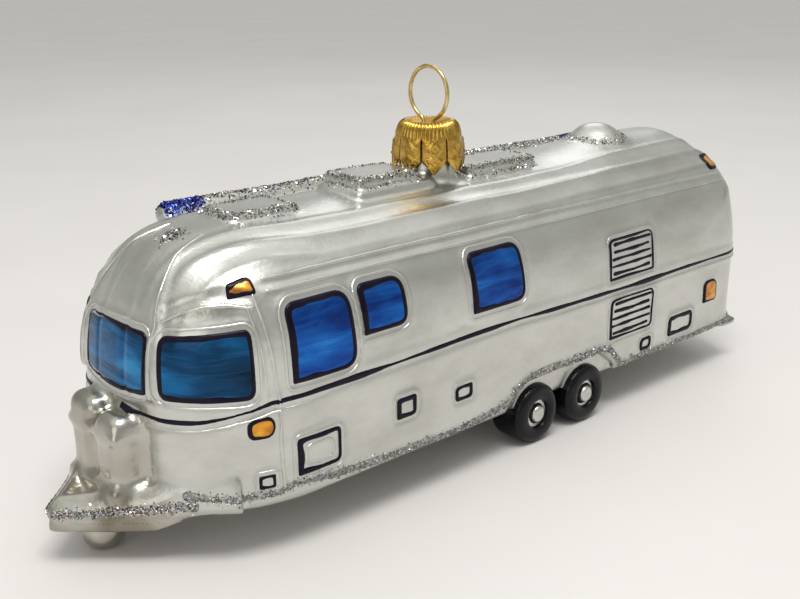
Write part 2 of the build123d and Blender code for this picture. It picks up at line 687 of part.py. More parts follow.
outline_enamel_right = side_enamel(RIGHT, lambda: draw_outlines(RIGHT))
with outline_enamel_right:
    with Locations((0, 0, BELT_Z)):
        Box(OVERALL_LENGTH, 2 * THROUGH, BELT_LINE, mode=Mode.SUBTRACT)
outline_enamel_right.part.label = "outline_enamel_right"

with BuildPart() as outline_enamel_front:
    for ring in front_panels(*FILM, 0, LINE):
        add(ring)
outline_enamel_front.part.label = "outline_enamel_front"

with BuildPart() as outline_enamel_rear:
    add(rear_panel(*FILM, 0, LINE))
outline_enamel_rear.part.label = "outline_enamel_rear"

with BuildPart() as belt_line_enamel:
    add(plan_band(*FILM, BELT_Z - BELT_LINE / 2, BELT_Z + BELT_LINE / 2))
    with Locations((NOSE_X, 0, BELT_Z)):
        Box(2 * GAS_REACH, 2 * (BOTTLE_SPREAD + BOTTLE_RADIUS + CLEAR), BELT_HEIGHT, mode=Mode.SUBTRACT)
belt_line_enamel.part.label = "belt_line_enamel"

with BuildPart() as lamp_enamel:
    for side in SIDES:
        add(side_enamel(side, draw_lamps).part)
    add(eave_lamps(*FILM, 0))
lamp_enamel.part.label = "lamp_enamel"

with BuildPart() as tyre_lacquer:
    wheels(0)
    add(wheel_blocks.part, mode=Mode.SUBTRACT)
    add(hub_blocks.part, mode=Mode.SUBTRACT)
    add(COACH - arch_blocks.part, mode=Mode.SUBTRACT)
tyre_lacquer.part.label = "tyre_lacquer"

# ---- Glitter -------------------------------------------------------------------------------
# Height above the skirt of the glitter line along a side, from the nose to the tail
SKIRT_LINE = (
    (NOSE_X + 4, 4.2),
    (NOSE_X - 19.0, 3.3),
    (NOSE_X - 29.2, 2.2),
    (NOSE_X - 40.4, 1.8),
    (NOSE_X - 52.5, 1.4),
    (NOSE_X - 62.9, 2.0),
    (WHEEL_X[0] + 9.4, 2.6),
    (WHEEL_X[0] + 7.3, 4.2),
    (WHEEL_X[0] + 3.9, 6.5),
    (WHEEL_X[1] - 4.3, 6.5),
    (WHEEL_X[1] - 7.7, 5.2),
    (WHEEL_X[1] - 10.4, 2.6),
    (WHEEL_X[1] - 12.3, 1.6),
    (TAIL_X - 4, 2.2),
)
GLITTER_HALF = 0.85
GLITTER_ROOT = -0.6

with BuildPart() as skirt_glitter:
    add(plan_band(GLITTER_ROOT, GLITTER, SKIRT_Z, BELT_Z))
    upper = [(x, SKIRT_Z + z + GLITTER_HALF) for x, z in SKIRT_LINE]
    lower = [(x, SKIRT_Z + z - GLITTER_HALF) for x, z in reversed(SKIRT_LINE)]
    with BuildSketch(Plane.XZ):
        Polygon(*upper, *lower, align=None)
    extrude(amount=THROUGH, both=True, mode=Mode.INTERSECT)
    add(tail_lip(CLEAR / 2), mode=Mode.SUBTRACT)
    add([COACH, side_pads.part, drawbar_block.part, gas_block.part], mode=Mode.SUBTRACT)
skirt_glitter.part.label = "skirt_glitter"

with BuildPart() as drawbar_glitter:
    with BuildSketch(Plane.XY.offset(DRAWBAR_BOTTOM + 2.6)):
        add(drawbar_plan(GLITTER))
    extrude(amount=2.0)
    add(drawbar_block.part, mode=Mode.SUBTRACT)
    add(plan_slab(GLITTER + 0.05, DRAWBAR_BOTTOM, BELT_Z), mode=Mode.SUBTRACT)
drawbar_glitter.part.label = "drawbar_glitter"

with BuildPart() as roof_glitter:
    front = ROOF_UNITS[0][0] + ROOF_UNITS[0][1] / 2 + TRIM
    extrude(roof_face(Plane.YZ.offset(TAIL_X + TAIL_RUN), BELT_Z, GLITTER), amount=front - TAIL_X - TAIL_RUN)
    with BuildSketch(Plane.XY.offset(EAVE_Z)):
        for x, length, half, _, ringed in ROOF_UNITS:
            if ringed:
                with Locations((x, 0)):
                    RectangleRounded(length + 2 * TRIM, 2 * (half + TRIM), UNIT_CORNER + TRIM)
        with Locations((DOME_X, 0)):
            Circle(DOME_RADIUS + TRIM)
    extrude(amount=NECK_TOP - EAVE_Z, mode=Mode.INTERSECT)
    add([COACH, roof_blocks.part, dome_block.part], mode=Mode.SUBTRACT)
roof_glitter.part.label = "roof_glitter"


def awning_sleeve(start, stop):
    """Open-bottomed glitter sleeve over a length of the awning roll."""
    with BuildPart() as sleeve:
        with BuildSketch(Plane.YZ.offset(start)):
            with Locations((AWNING_Y, AWNING_Z)):
                Circle(AWNING_RADIUS + GLITTER)
                Circle(AWNING_RADIUS, mode=Mode.SUBTRACT)
            with Locations((AWNING_Y, AWNING_Z + AWNING_OPEN - 2 * AWNING_RADIUS)):
                Rectangle(6 * AWNING_RADIUS, 4 * AWNING_RADIUS, mode=Mode.SUBTRACT)
        extrude(amount=stop - start)
    return sleeve.part


with BuildPart() as awning_glitter:
    add(awning_sleeve(AWNING_ENDS[0][1], AWNING_ENDS[1][0]))
awning_glitter.part.label = "awning_glitter"

with BuildPart() as awning_end_glitter:
    for start, stop in AWNING_ENDS:
        add(awning_sleeve(start, stop))
awning_end_glitter.part.label = "awning_end_glitter"

# ---- Cap and bail --------------------------------------------------------------------------
LEAF_TIP = NECK_TOP - CAP_SKIRT
LEAF_ANGLE = 360 / LEAVES
CAP_BORE = NECK_RADIUS + CAP_CLEARANCE

with BuildPart() as slit_block:
    with BuildSketch(Plane.YZ):
        Polygon(
            (-2.3, LEAF_TIP - 1),
            (2.3, LEAF_TIP - 1),
            (SLIT / 2, LEAF_TIP + LEAF_POINT),
            (SLIT / 2, NECK_TOP - SLIT_TOP),
            (-SLIT / 2, NECK_TOP - SLIT_TOP),
            (-SLIT / 2, LEAF_TIP + LEAF_POINT),
            align=None,
        )
    extrude(amount=CAP_RADIUS + 2)

with BuildPart() as lozenge_block:
    width, height, proud = LOZENGE
    with BuildSketch(Plane.YZ.offset(CAP_RADIUS - CAP_SHEET)):
        with Locations((0, LEAF_TIP + LOZENGE_RISE)):
            Polygon((-width / 2, 0), (0, -height / 2), (width / 2, 0), (0, height / 2))
    extrude(amount=CAP_SHEET + proud, taper=30)

with BuildPart() as crown_cap:
    with BuildSketch(Plane.XZ):
        Polygon(
            (CAP_HOLE, NECK_TOP),
            (CAP_BORE, NECK_TOP),
            (CAP_BORE, LEAF_TIP + LEAF_POINT),
            (CAP_RADIUS - CAP_SHEET, LEAF_TIP),
            (CAP_RADIUS, LEAF_TIP),
            (CAP_BORE + CAP_SHEET + 0.3, LEAF_TIP + LEAF_POINT),
            (CAP_RADIUS - 0.1, NECK_TOP - 0.8),
            (NECK_RADIUS, CAP_TOP - 0.3),
            (NECK_RADIUS - 0.5, CAP_TOP),
            (NECK_RADIUS - 1.2, NECK_TOP + 0.9),
            (CAP_HOLE, NECK_TOP + 0.6),
            align=None,
        )
    revolve(axis=Axis.Z)
    with PolarLocations(0, LEAVES):
        add(lozenge_block.part)
    with PolarLocations(0, LEAVES, start_angle=LEAF_ANGLE / 2):
        add(slit_block.part, mode=Mode.SUBTRACT)
crown_cap.part = crown_cap.part.moved(Location((NECK_X, 0, 0)))
crown_cap.part.label = "crown_cap"

OPEN_ANGLE = 18  # half of the ring's gap, where the wire turns down into the cap
LEG_Y = NECK_BORE - WIRE - LEG_GAP
FOOT_Z = NECK_TOP - LEG_LENGTH

with BuildPart() as bail_wire:
    low_y = RING_RADIUS * sin(radians(OPEN_ANGLE))
    low_z = RING_Z - RING_RADIUS * cos(radians(OPEN_ANGLE))
    turn_z = low_z - (low_y - LEG_SPREAD) * tan(radians(OPEN_ANGLE))
    for side in SIDES:
        with BuildLine(Plane.YZ) as leg:
            FilletPolyline(
                (side * low_y, low_z),
                (side * LEG_SPREAD, turn_z),
                (side * LEG_SPREAD, NECK_TOP - 0.6),
                (side * LEG_Y, FOOT_Z + 1.5),
                (side * LEG_Y, FOOT_Z),
                radius=[0.8, WIRE_BEND, WIRE_BEND],
            )
        with BuildSketch(Plane(origin=leg.line @ 0, z_dir=leg.line % 0)):
            Circle(WIRE)
        sweep(path=leg.line)
    start = Plane(origin=(0, low_y, low_z), x_dir=(1, 0, 0), z_dir=(0, RING_Z - low_z, low_y))
    with BuildSketch(start):
        Circle(WIRE)
    revolve(axis=Axis((0, 0, RING_Z), (-1, 0, 0)), revolution_arc=360 - 2 * OPEN_ANGLE)
bail_wire.part = bail_wire.part.moved(Location((NECK_X, 0, 0)))
bail_wire.part.label = "bail_wire"

for node in (
    glass_body,
    window_enamel_left,
    window_enamel_right,
    window_enamel_front,
    window_enamel_rear,
    outline_enamel_left,
    outline_enamel_right,
    outline_enamel_front,
    outline_enamel_rear,
    belt_line_enamel,
    lamp_enamel,
    tyre_lacquer,
    skirt_glitter,
    drawbar_glitter,
    roof_glitter,
    awning_glitter,
    awning_end_glitter,
    crown_cap,
    bail_wire,
):
    export_step(node.part, "parts/" + node.part.label + ".step")
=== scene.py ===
"""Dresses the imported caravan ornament: blown glass, brushed enamel, glued glitter, a gold cap.

The glass is one soft mesh taken from a distance field that repeats the CAD dimensions, so its
moulded frames and seams melt into the skin as blown glass does.  Painted films and glitter are
laid over that same field.  Lengths are millimetres until a mesh is made.  Noise scales, bump
distances, lamps and camera work in metres.
"""

import math

import bpy
import numpy as np
import openvdb as vdb
from mathutils import Matrix, Vector


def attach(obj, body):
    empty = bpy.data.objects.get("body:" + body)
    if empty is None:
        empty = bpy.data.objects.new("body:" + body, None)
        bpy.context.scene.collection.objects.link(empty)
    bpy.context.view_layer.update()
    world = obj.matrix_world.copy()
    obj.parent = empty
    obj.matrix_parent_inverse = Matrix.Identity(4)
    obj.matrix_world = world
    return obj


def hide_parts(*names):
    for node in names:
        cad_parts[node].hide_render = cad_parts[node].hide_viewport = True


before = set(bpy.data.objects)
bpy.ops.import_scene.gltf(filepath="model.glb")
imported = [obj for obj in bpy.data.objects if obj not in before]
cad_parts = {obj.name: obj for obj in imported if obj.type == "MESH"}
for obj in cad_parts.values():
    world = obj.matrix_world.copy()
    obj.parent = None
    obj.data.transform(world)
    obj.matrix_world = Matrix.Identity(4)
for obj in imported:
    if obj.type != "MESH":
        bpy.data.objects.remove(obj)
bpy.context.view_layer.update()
RNG = np.random.default_rng(11)
MM = 0.001
SIDES = {"left": 1, "right": -1}

# ---- Sizes repeated from the CAD ----
HALF = 22.7  # at the belt line, where the coach is widest
FLOOR_Z, BELT_Z, EAVE_Z, ROOF_Z = 8.2, 26.0, 43.8, 50.3
LEAN = 3.3  # how far a side leans in between belt and eave
NOSE_X, TAIL_X, HITCH_X = 69.4, -82.0, 82.5
NOSE_ARC, TAIL_ARC, NOSE_CORNER = 42.0, 90.0, 12.5
TAIL_CORNER = 7.5  # fuller than the 10 mm of the CAD, as in the photo
NOSE_RUN, NOSE_ROOF, TAIL_RUN, TAIL_ROOF = 21.7, 30.0, 11.5, 13.0
SIDE_ARC = (LEAN**2 + (EAVE_Z - BELT_Z) ** 2) / (2 * LEAN)
ROOF_ARC = ((HALF - LEAN) ** 2 + (ROOF_Z - EAVE_Z) ** 2) / (2 * (ROOF_Z - EAVE_Z))
ROOF_ARC_Z = ROOF_Z - ROOF_ARC
NECK_X, NECK_RADIUS, NECK_BORE, NECK_TOP = 0.7, 5.2, 4.2, 58.5
WHEEL_X, WHEEL_R, WHEEL_Y = (-7.0, -21.8), 6.0, 23.2
AWNING_Y, AWNING_R = -15.2, 2.1
AWNING_Z = ROOF_ARC_Z + math.sqrt(ROOF_ARC**2 - AWNING_Y**2) + 0.7 * AWNING_R
DOME_X = -51.0


# ---- Plan of the coach: s runs along its outline from the nose, positive on the left ----
def end_centre(tip, sign, arc, corner):
    axis = tip - sign * arc
    cy = HALF - corner
    run = math.sqrt((arc - corner) ** 2 - cy**2)
    return axis, axis + sign * run, cy, math.atan2(cy, run)


NOSE_AXIS, NCX, NCY, N_ANGLE = end_centre(NOSE_X, 1, NOSE_ARC, NOSE_CORNER)
TAIL_AXIS, TCX, TCY, T_ANGLE = end_centre(TAIL_X, -1, TAIL_ARC, TAIL_CORNER)
S1 = NOSE_ARC * N_ANGLE
S2 = S1 + NOSE_CORNER * (math.pi / 2 - N_ANGLE)
S3 = S2 + NCX - TCX
S4 = S3 + TAIL_CORNER * (math.pi / 2 - T_ANGLE)
S5 = S4 + TAIL_ARC * T_ANGLE
SX = S2 + NCX  # on a side, s = SX - x


def plan(s):
    """Plan point and outward direction at outline length s."""
    side = np.where(s < 0, -1.0, 1.0)
    a = np.abs(s)
    nose = a / NOSE_ARC
    corner = N_ANGLE + (a - S1) / NOSE_CORNER
    tail_corner = math.pi / 2 + (a - S3) / TAIL_CORNER
    tail = math.pi - T_ANGLE + (a - S4) / TAIL_ARC
    picks = [a <= S1, a <= S2, a <= S3, a <= S4]
    angle = np.select(picks, [nose, corner, math.pi / 2, tail_corner], tail)
    cx = np.select(picks, [NOSE_AXIS, NCX, SX - a, TCX], TAIL_AXIS)
    cy = np.select(picks, [0.0, NCY, HALF, TCY], 0.0)
    radius = np.select(picks, [NOSE_ARC, NOSE_CORNER, 0.0, TAIL_CORNER], TAIL_ARC)
    nx, ny = np.cos(angle), np.sin(angle)
    return cx + radius * nx, side * (cy + radius * ny), nx, side * ny


def outline_s(x, y):
    """Outline length of the plan point nearest (x, y)."""
    a = np.abs(y)
    nose = NOSE_ARC * np.arctan2(a, x - NOSE_AXIS)
    corner = S1 + NOSE_CORNER * (np.arctan2(a - NCY, x - NCX) - N_ANGLE)
    tail_corner = S3 + TAIL_CORNER * (np.arctan2(a - TCY, x - TCX) - math.pi / 2)
    tail = S5 - TAIL_ARC * np.arctan2(a, TAIL_AXIS - x)
    front = np.where(corner > S1, np.clip(corner, S1, S2), np.minimum(nose, S1))
    back = np.where(tail_corner < S4, np.clip(tail_corner, S3, S4), np.maximum(tail, S4))
    s = np.select([x > NCX, x < TCX], [front, back], SX - x)
    return np.where(y < 0, -s, s)


# ---- Helpers ----
FAR = 1e9


def fade(value, start, run):
    """0 up to start, 1 from start + run."""
    return np.clip((value - start) / run, 0, 1)


def bell(value, width):
    return np.exp(-((value / width) ** 2))


def columns(*values):
    return np.stack(values, axis=1)


def unit(v):
    return v / np.maximum(np.linalg.norm(v, axis=1, keepdims=True), 1e-9)


def round_max(a, b, r):
    """Where both solids are, with a rounded edge of radius r."""
    edge = np.hypot(np.maximum(a + r, 0), np.maximum(b + r, 0))
    return np.minimum(-r, np.maximum(a, b)) + edge


def soft_min(a, b, k):
    """Both solids melted together over a width k."""
    h = np.maximum(k - np.abs(a - b), 0) / k
    return np.minimum(a, b) - h * h * k / 4


def soft_max(a, b, k):
    return -soft_min(-a, -b, k)


def block(cx, cy, cz, half, r):
    """Distance function of a box with rounded edges."""

    def shape(x, y, z):
        qx, qy, qz = [np.abs(v - c) - h + r for v, c, h in zip((x, y, z), (cx, cy, cz), half)]
        out = np.sqrt(np.maximum(qx, 0) ** 2 + np.maximum(qy, 0) ** 2 + np.maximum(qz, 0) ** 2)
        return out + np.minimum(np.maximum(np.maximum(qx, qy), qz), 0) - r

    return shape


def post(cx, radius, middle, half, r):
    """Distance function of an upright round post on the middle plane."""

    def shape(x, y, z):
        return round_max(np.hypot(x - cx, y) - radius + 0 * z, np.abs(z - middle) - half, r)

    return shape


def closer(best, px, py, start, end):
    """The smaller of best and the squared distance to one straight stretch."""
    (ax, ay), (bx, by) = start, end
    ex, ey = bx - ax, by - ay
    wx, wy = px - ax, py - ay
    t = np.clip((wx * ex + wy * ey) / (ex * ex + ey * ey + 1e-12), 0, 1)
    return np.minimum(best, (wx - ex * t) ** 2 + (wy - ey * t) ** 2)


def poly_distance(px, py, points):
    """Signed distance to a closed outline, negative inside."""
    points = np.asarray(points, dtype=float)
    best = np.full(np.broadcast(px, py).shape, FAR)
    inside = np.zeros(best.shape, dtype=bool)
    for start, end in zip(points, np.roll(points, -1, axis=0)):
        best = closer(best, px, py, start, end)
        (ax, ay), (bx, by) = start, end
        if ay != by:
            inside ^= ((ay > py) != (by > py)) & (px < (bx - ax) * (py - ay) / (by - ay) + ax)
    return np.where(inside, -1.0, 1.0) * np.sqrt(best)


def path_distance(px, py, points):
    """Distance to an open line of points."""
    best = np.full(np.broadcast(px, py).shape, FAR)
    for start, end in zip(points, points[1:]):
        best = closer(best, px, py, start, end)
    return np.sqrt(best)


def smooth_path(points, steps=6):
    """Catmull-Rom curve through points."""
    p = np.asarray(points, dtype=float)
    p = np.vstack([2 * p[0] - p[1], p, 2 * p[-1] - p[-2]])
    out = []
    for i in range(1, len(p) - 2):
        a, b, c, d = p[i - 1 : i + 3]
        square = 2 * a - 5 * b + 4 * c - d
        cube = 3 * b - a - 3 * c + d
        for t in np.linspace(0, 1, steps, endpoint=False):
            out.append(0.5 * (2 * b + (c - a) * t + square * t**2 + cube * t**3))
    out.append(p[-2])
    return np.array(out)


def rounded(corners, radii):
    """Outline with each corner rounded by its own radius."""
    corners = np.asarray(corners, dtype=float)
    out = []
    for i, r in enumerate(radii):
        b = corners[i]
        a, c = corners[i - 1], corners[(i + 1) % len(corners)]
        u, v = (a - b) / np.linalg.norm(a - b), (c - b) / np.linalg.norm(c - b)
        for t in np.linspace(0, 1, 7):
            out.append((1 - t) ** 2 * (b + u * r) + 2 * t * (1 - t) * b + t**2 * (b + v * r))
    return np.array(out)


def wobble(x, y, scale, seed):
    """Smooth pseudo-random field in about -1..1."""
    rng = np.random.default_rng(seed)
    total = 0
    for _ in range(5):
        fx, fy, phase = rng.normal(0, 1), rng.normal(0, 1), rng.uniform(0, 6.28)
        total = total + np.sin((x * fx + y * fy) / scale * 2.2 + phase)
    return total / 3.0


# ---- Painted shapes, in (s, z) on the wall ----
def rect(a, b, low, high, radii):
    return rounded([(a, high), (b, high), (b, low), (a, low)], radii)


def side_box(side, rear, front, low, high, radii):
    """Outline on a side: its radii run front top, rear top, rear low, front low."""
    return rect(SX - front, SX - rear, low, high, radii) * (side, 1)


def on_side(points):
    """(x, z) on the left side as (s, z)."""
    return [(SX - x, z) for x, z in points]


# x of the rear and the front edge, z of the low and the high edge, corner radii
SIDE_PANES = {
    "left": [
        (38.3, 51.0, 28.1, 40.6, (2.4, 3.0, 3.0, 0.5)),
        (26.8, 36.5, 32.4, 40.6, (1.8, 2.6, 2.4, 0.4)),
        (-2.5, 11.4, 30.3, 41.0, (2.2, 2.6, 2.6, 0.5)),
    ],
    "right": [
        (38.3, 50.7, 28.6, 40.3, (2.6, 4.4, 3.8, 0.8)),
        (-21.6, -8.4, 30.7, 40.7, (2.6, 2.6, 3.2, 0.8)),
        (-55.6, -42.4, 30.7, 40.7, (2.6, 2.6, 3.2, 0.8)),
        (11.8, 18.2, 31.0, 39.0, (1.6, 1.6, 1.6, 1.2)),
    ],
}
# the same columns, then the width of the black line
SIDE_FRAMES = {
    "left": [
        (-43.0, -28.0, 28.2, 36.7, (1.6, 1.6, 0.6, 0.3), 0.55),
        (-43.4, -28.8, 15.5, 24.3, (1.6, 1.8, 1.6, 0.3), 0.55),
        (41.9, 50.7, 12.5, 18.9, (0.9, 1.4, 1.6, 0.3), 0.8),
        (25.4, 30.0, 15.8, 19.7, (0.8, 0.7, 1.3, 0.5), 0.95),
        (11.5, 16.0, 15.0, 17.9, (1.1, 0.6, 1.1, 0.9), 0.8),
        (-59.0, -49.8, 11.2, 15.8, (1.4, 1.4, 2.2, 0.8), 0.9),
        (-43.6, -39.6, 10.5, 13.4, (1.6, 0.9, 1.6, 0.9), 0.75),
        (54.4, 57.4, 11.8, 14.1, (0.5, 0.3, 0.6, 0.4), 0.65),
    ],
    "right": [
        (41.9, 50.8, 12.5, 18.8, (0.9, 1.4, 1.6, 0.5), 0.7),
        (-58.9, -50.2, 12.5, 17.1, (1.4, 1.4, 1.9, 0.5), 0.65),
        (8.7, 21.3, 11.2, 41.6, (2.4, 2.4, 1.4, 1.4), 0.7),
        (55.2, 58.3, 13.0, 15.5, (0.5, 0.3, 0.6, 0.4), 0.6),
    ],
}
# slats of the two grilles on the left: x of the rear and the front end, z of the lowest and the highest
GRILLES = ((-41.6, -29.6, 29.6, 35.4), (-42.0, -30.2, 16.8, 23.0))
# lamps on both sides: front, rear and rear eave
SIDE_LAMPS = (
    (54.2, 59.1, 20.3, 24.0, (1.7, 1.9, 1.9, 1.7)),
    (-68.0, -62.6, 16.1, 21.3, (1.8, 2.2, 1.2, 0.6)),
    (-73.8, -69.9, 44.6, 47.8, (1.2, 1.2, 1.2, 1.2)),
)
FRONT_EAVE_LAMP = [(24.2, 44.0), (31.1, 44.8), (31.1, 42.4), (24.2, 41.9)]  # (s, z)
CORNER_PANE = [(11.1, 37.0), (28.2, 37.9), (28.1, 26.8), (11.5, 27.2)]  # (s, z)
REAR_PANE_HALF, REAR_PANE_LOW, REAR_PANE_HIGH = 12.5, 28.8, 38.0


def nose_pane():
    """The middle pane of the nose, bowed at its head and its foot."""
    head, foot = (9.1, 36.9), (9.4, 27.2)
    corners = [(-head[0], head[1]), (0, 37.4), head, foot, (0, 26.4), (-foot[0], foot[1])]
    return rounded(corners, (1.6, 3.0, 1.6, 1.4, 3.0, 1.4))


PANES, FRAMES, LAMPS = {}, {}, {}
for name, side in SIDES.items():
    PANES[name] = [side_box(side, *row) for row in SIDE_PANES[name]]
    FRAMES[name] = [(side_box(side, *row), width) for *row, width in SIDE_FRAMES[name]]
    front, rear, rear_eave = [side_box(side, *row) for row in SIDE_LAMPS]
    front_eave = rounded(FRONT_EAVE_LAMP, (0.8, 0.9, 0.6, 0.7)) * (side, 1)
    LAMPS[name] = [front, front_eave, rear, rear_eave]
corner_pane = rounded(CORNER_PANE, (1.8, 1.7, 2.0, 1.5))
PANES["front"] = [nose_pane(), corner_pane, corner_pane * (-1, 1)]
rear_ends = S5 - REAR_PANE_HALF, S5 + REAR_PANE_HALF
PANES["rear"] = [rect(*rear_ends, REAR_PANE_LOW, REAR_PANE_HIGH, (2.4, 2.4, 2.0, 2.0))]

# glitter along the skirt: round the nose as (s, z), then along the side and over the arch as (x, z)
SKIRT_NOSE = [(0.0, 12.6), (12.0, 12.2), (20.0, 11.2)]
SKIRT_SIDE = [(56.0, 10.9), (50.4, 11.5), (40.2, 10.4), (29.0, 10.0), (16.9, 9.6), (6.5, 10.2)]
SKIRT_ARCH = [(2.4, 10.8), (0.3, 12.4), (-3.1, 14.1), (-7.4, 14.8), (-13.4, 14.7)]
SKIRT_ARCH_REAR = [(-19.6, 14.6), (-26.1, 14.5), (-29.5, 13.4), (-32.2, 10.7)]
SKIRT_REAR = [(-34.1, 9.4), (-40.3, 9.7), (-63.5, 9.4), (-74.0, 9.7)]
skirt_x = SKIRT_SIDE + SKIRT_ARCH + SKIRT_ARCH_REAR + SKIRT_REAR
SKIRT_PATH = smooth_path(SKIRT_NOSE + on_side(skirt_x) + [(S5, 9.9)], 5)
ARCH = [(1.4, 6.0), (1.2, 10.2), (-3.4, 13.4), (-26.4, 13.5), (-31.0, 10.0), (-32.2, 6.0)]  # (x, z)


def belt_height(s):
    """Height of the painted belt line, which sags round the front corners."""
    at = [0, 6, 12, 18, 22.6, 27.3, 30.7, 39, 52, 86, 97, 120]
    z = [24.4, 24.0, 23.8, 23.9, 24.4, 25.1, 25.8, 26.1, 26.4, 26.8, 26.5, 26.2]
    return np.interp(np.abs(s), at, z)


# ---- Lines of the mould, in (s, z) on the left side ----
HATCH_OVAL = side_box(1, 43.6, 49.2, 13.9, 17.4, (1.7, 1.7, 1.7, 1.7))
FRONT_SEAM = on_side([(54.8, 42.3), (54.3, 36.2), (53.4, 26.2), (53.2, 10.5)])
CORNER_SEAM = on_side([(56.9, 41.6), (55.8, 36.2), (55.1, 27.2)])
NOSE_FOLD = [(10.4, 27.2), (10.3, 38.0), (9.2, 43.0), (7.6, 49.0)]
NOSE_CREASE = [(4.2, 26.8), (3.6, 47.0)]
BROW_END = (SX - 55.6, 40.6)
BROW = [(11.2, 38.6), (14.0, 40.0), (19.0, 41.0), (24.5, 41.2), BROW_END]
BROW_LINE = [(11.2, 38.9), (14.0, 40.3), (19.0, 41.2), (24.5, 41.3), BROW_END]
EAVE_START = SX - 52.5
BELT_RIDGE = -1.35  # the belt's main ridge, below the painted line
# crisp lines laid over the soft relief: points, and a width
SEAM_LINES = [
    ([(EAVE_START, 44.2), (S3, 44.1)], 0.5),
    ([(EAVE_START, 42.6), (S3, 42.5)], 0.45),
    (FRONT_SEAM, 0.5),
    (CORNER_SEAM, 0.45),
    (BROW_LINE, 0.5),
    ([(s, belt_height(s) + BELT_RIDGE) for s in np.linspace(9.0, S5, 90)], 0.45),
    (NOSE_FOLD, 0.5),
]


# ---- Height map of everything moulded in low relief ----
MAP_STEP = 0.2
MAP_MARGIN = 3.0
MAP_S = np.arange(-S5 - 16, S5 + 16, MAP_STEP)
MAP_Z = np.arange(4.0, 56.0, MAP_STEP)
relief = np.zeros((len(MAP_S), len(MAP_Z)))


def press(points, profile, distance=poly_distance):
    """Adds a profile of the distance to an outline or a line to the height map."""
    points = np.asarray(points, dtype=float)
    low, high = points.min(axis=0) - MAP_MARGIN, points.max(axis=0) + MAP_MARGIN
    i0, i1 = np.searchsorted(MAP_S, [low[0], high[0]])
    j0, j1 = np.searchsorted(MAP_Z, [low[1], high[1]])
    gs, gz = np.meshgrid(MAP_S[i0:i1], MAP_Z[j0:j1], indexing="ij")
    relief[i0:i1, j0:j1] += profile(distance(gs, gz, points))


def ridge(height, width):
    return lambda d: height * bell(d, width)


def pad(height, edge, frame_height, frame_at):
    """A low plateau with a soft raised frame round it."""

    def profile(d):
        plateau = height / (1 + np.exp(d / edge))
        return plateau + frame_height * bell(d - frame_at, 0.5)

    return profile


def press_line(line, height, width, ds=0.0, dz=0.0):
    """Presses a ridge, or a groove, along a line of both sides, moved by (ds, dz)."""
    for side in SIDES.values():
        press([(side * (s + ds), z + dz) for s, z in line], ridge(height, width), path_distance)


for shape in sum(PANES.values(), []):
    press(shape, pad(0.34, 0.3, 0.34, 0.95))
for shape, _ in sum(FRAMES.values(), []):
    press(shape, pad(0.12, 0.25, 0.30, 0.7))
for shape in sum(LAMPS.values(), []):
    press(shape, pad(0.55, 0.35, 0.1, 0.9))
press(HATCH_OVAL, ridge(0.16, 0.4))
press_line(FRONT_SEAM, 0.36, 0.42)
press_line(CORNER_SEAM, 0.36, 0.42)
# eave moulding: a groove with a ridge either side
for z, height in ((44.3, 0.34), (43.4, -0.26), (42.5, 0.34)):
    press_line([(EAVE_START, z), (S3, z - 0.1)], height, 0.42)
# brow over the corner pane
for dz, height, width in ((0.0, 0.42, 0.55), (1.5, -0.3, 0.6), (2.7, 0.36, 0.7)):
    press_line(BROW, height, width, dz=dz)
# fold between the nose pane and the corner pane, and a crease down the nose
press_line(NOSE_FOLD, 0.6, 0.7)
press_line(NOSE_FOLD, -0.25, 0.6, ds=1.5)
press_line(NOSE_CREASE, -0.2, 0.45)
# belt moulding: three ridges, the main one under the painted line
belt_ring = [(s, belt_height(s)) for s in np.linspace(-S5 - 6, S5 + 6, 121)]
for dz, height, width in ((0.0, 0.26, 0.62), (BELT_RIDGE, 0.42, 0.5), (1.2, 0.2, 0.45)):
    press([(s, z + dz) for s, z in belt_ring], ridge(height, width), path_distance)
# lip that carries the glitter over the arch and along the skirt
press_line(SKIRT_PATH, 0.3, 0.85)


def relief_at(s, z):
    fs = np.clip((s - MAP_S[0]) / MAP_STEP, 0, len(MAP_S) - 1.001)
    fz = np.clip((z - MAP_Z[0]) / MAP_STEP, 0, len(MAP_Z) - 1.001)
    i, j = fs.astype(int), fz.astype(int)
    a, b = fs - i, fz - j
    low = relief[i, j] * (1 - a) + relief[i + 1, j] * a
    high = relief[i, j + 1] * (1 - a) + relief[i + 1, j + 1] * a
    return low * (1 - b) + high * b


# ---- The glass as a distance field ----
STEP = 0.5
LOW = np.array([-86.0, -26.5, -1.5])
HIGH = np.array([86.0, 26.5, 62.0])
AX = [np.arange(LOW[i], HIGH[i], STEP) for i in range(3)]
GX, GY, GZ = AX[0][:, None, None], AX[1][None, :, None], AX[2][None, None, :]
EAVE_ROUND, FLOOR_ROUND = 4.2, 1.6
# long soft facets of the roof: y, height, width, how far they close in at the nose
ROOF_FACETS = ((16.6, 0.34, 0.7, 3.0), (13.4, 0.42, 1.0, 4.6), (9.0, 0.34, 1.0, 3.6))
CROWN_RISE, CROWN_WIDTH = 2.2, 11.5  # of the roof, towards the tail


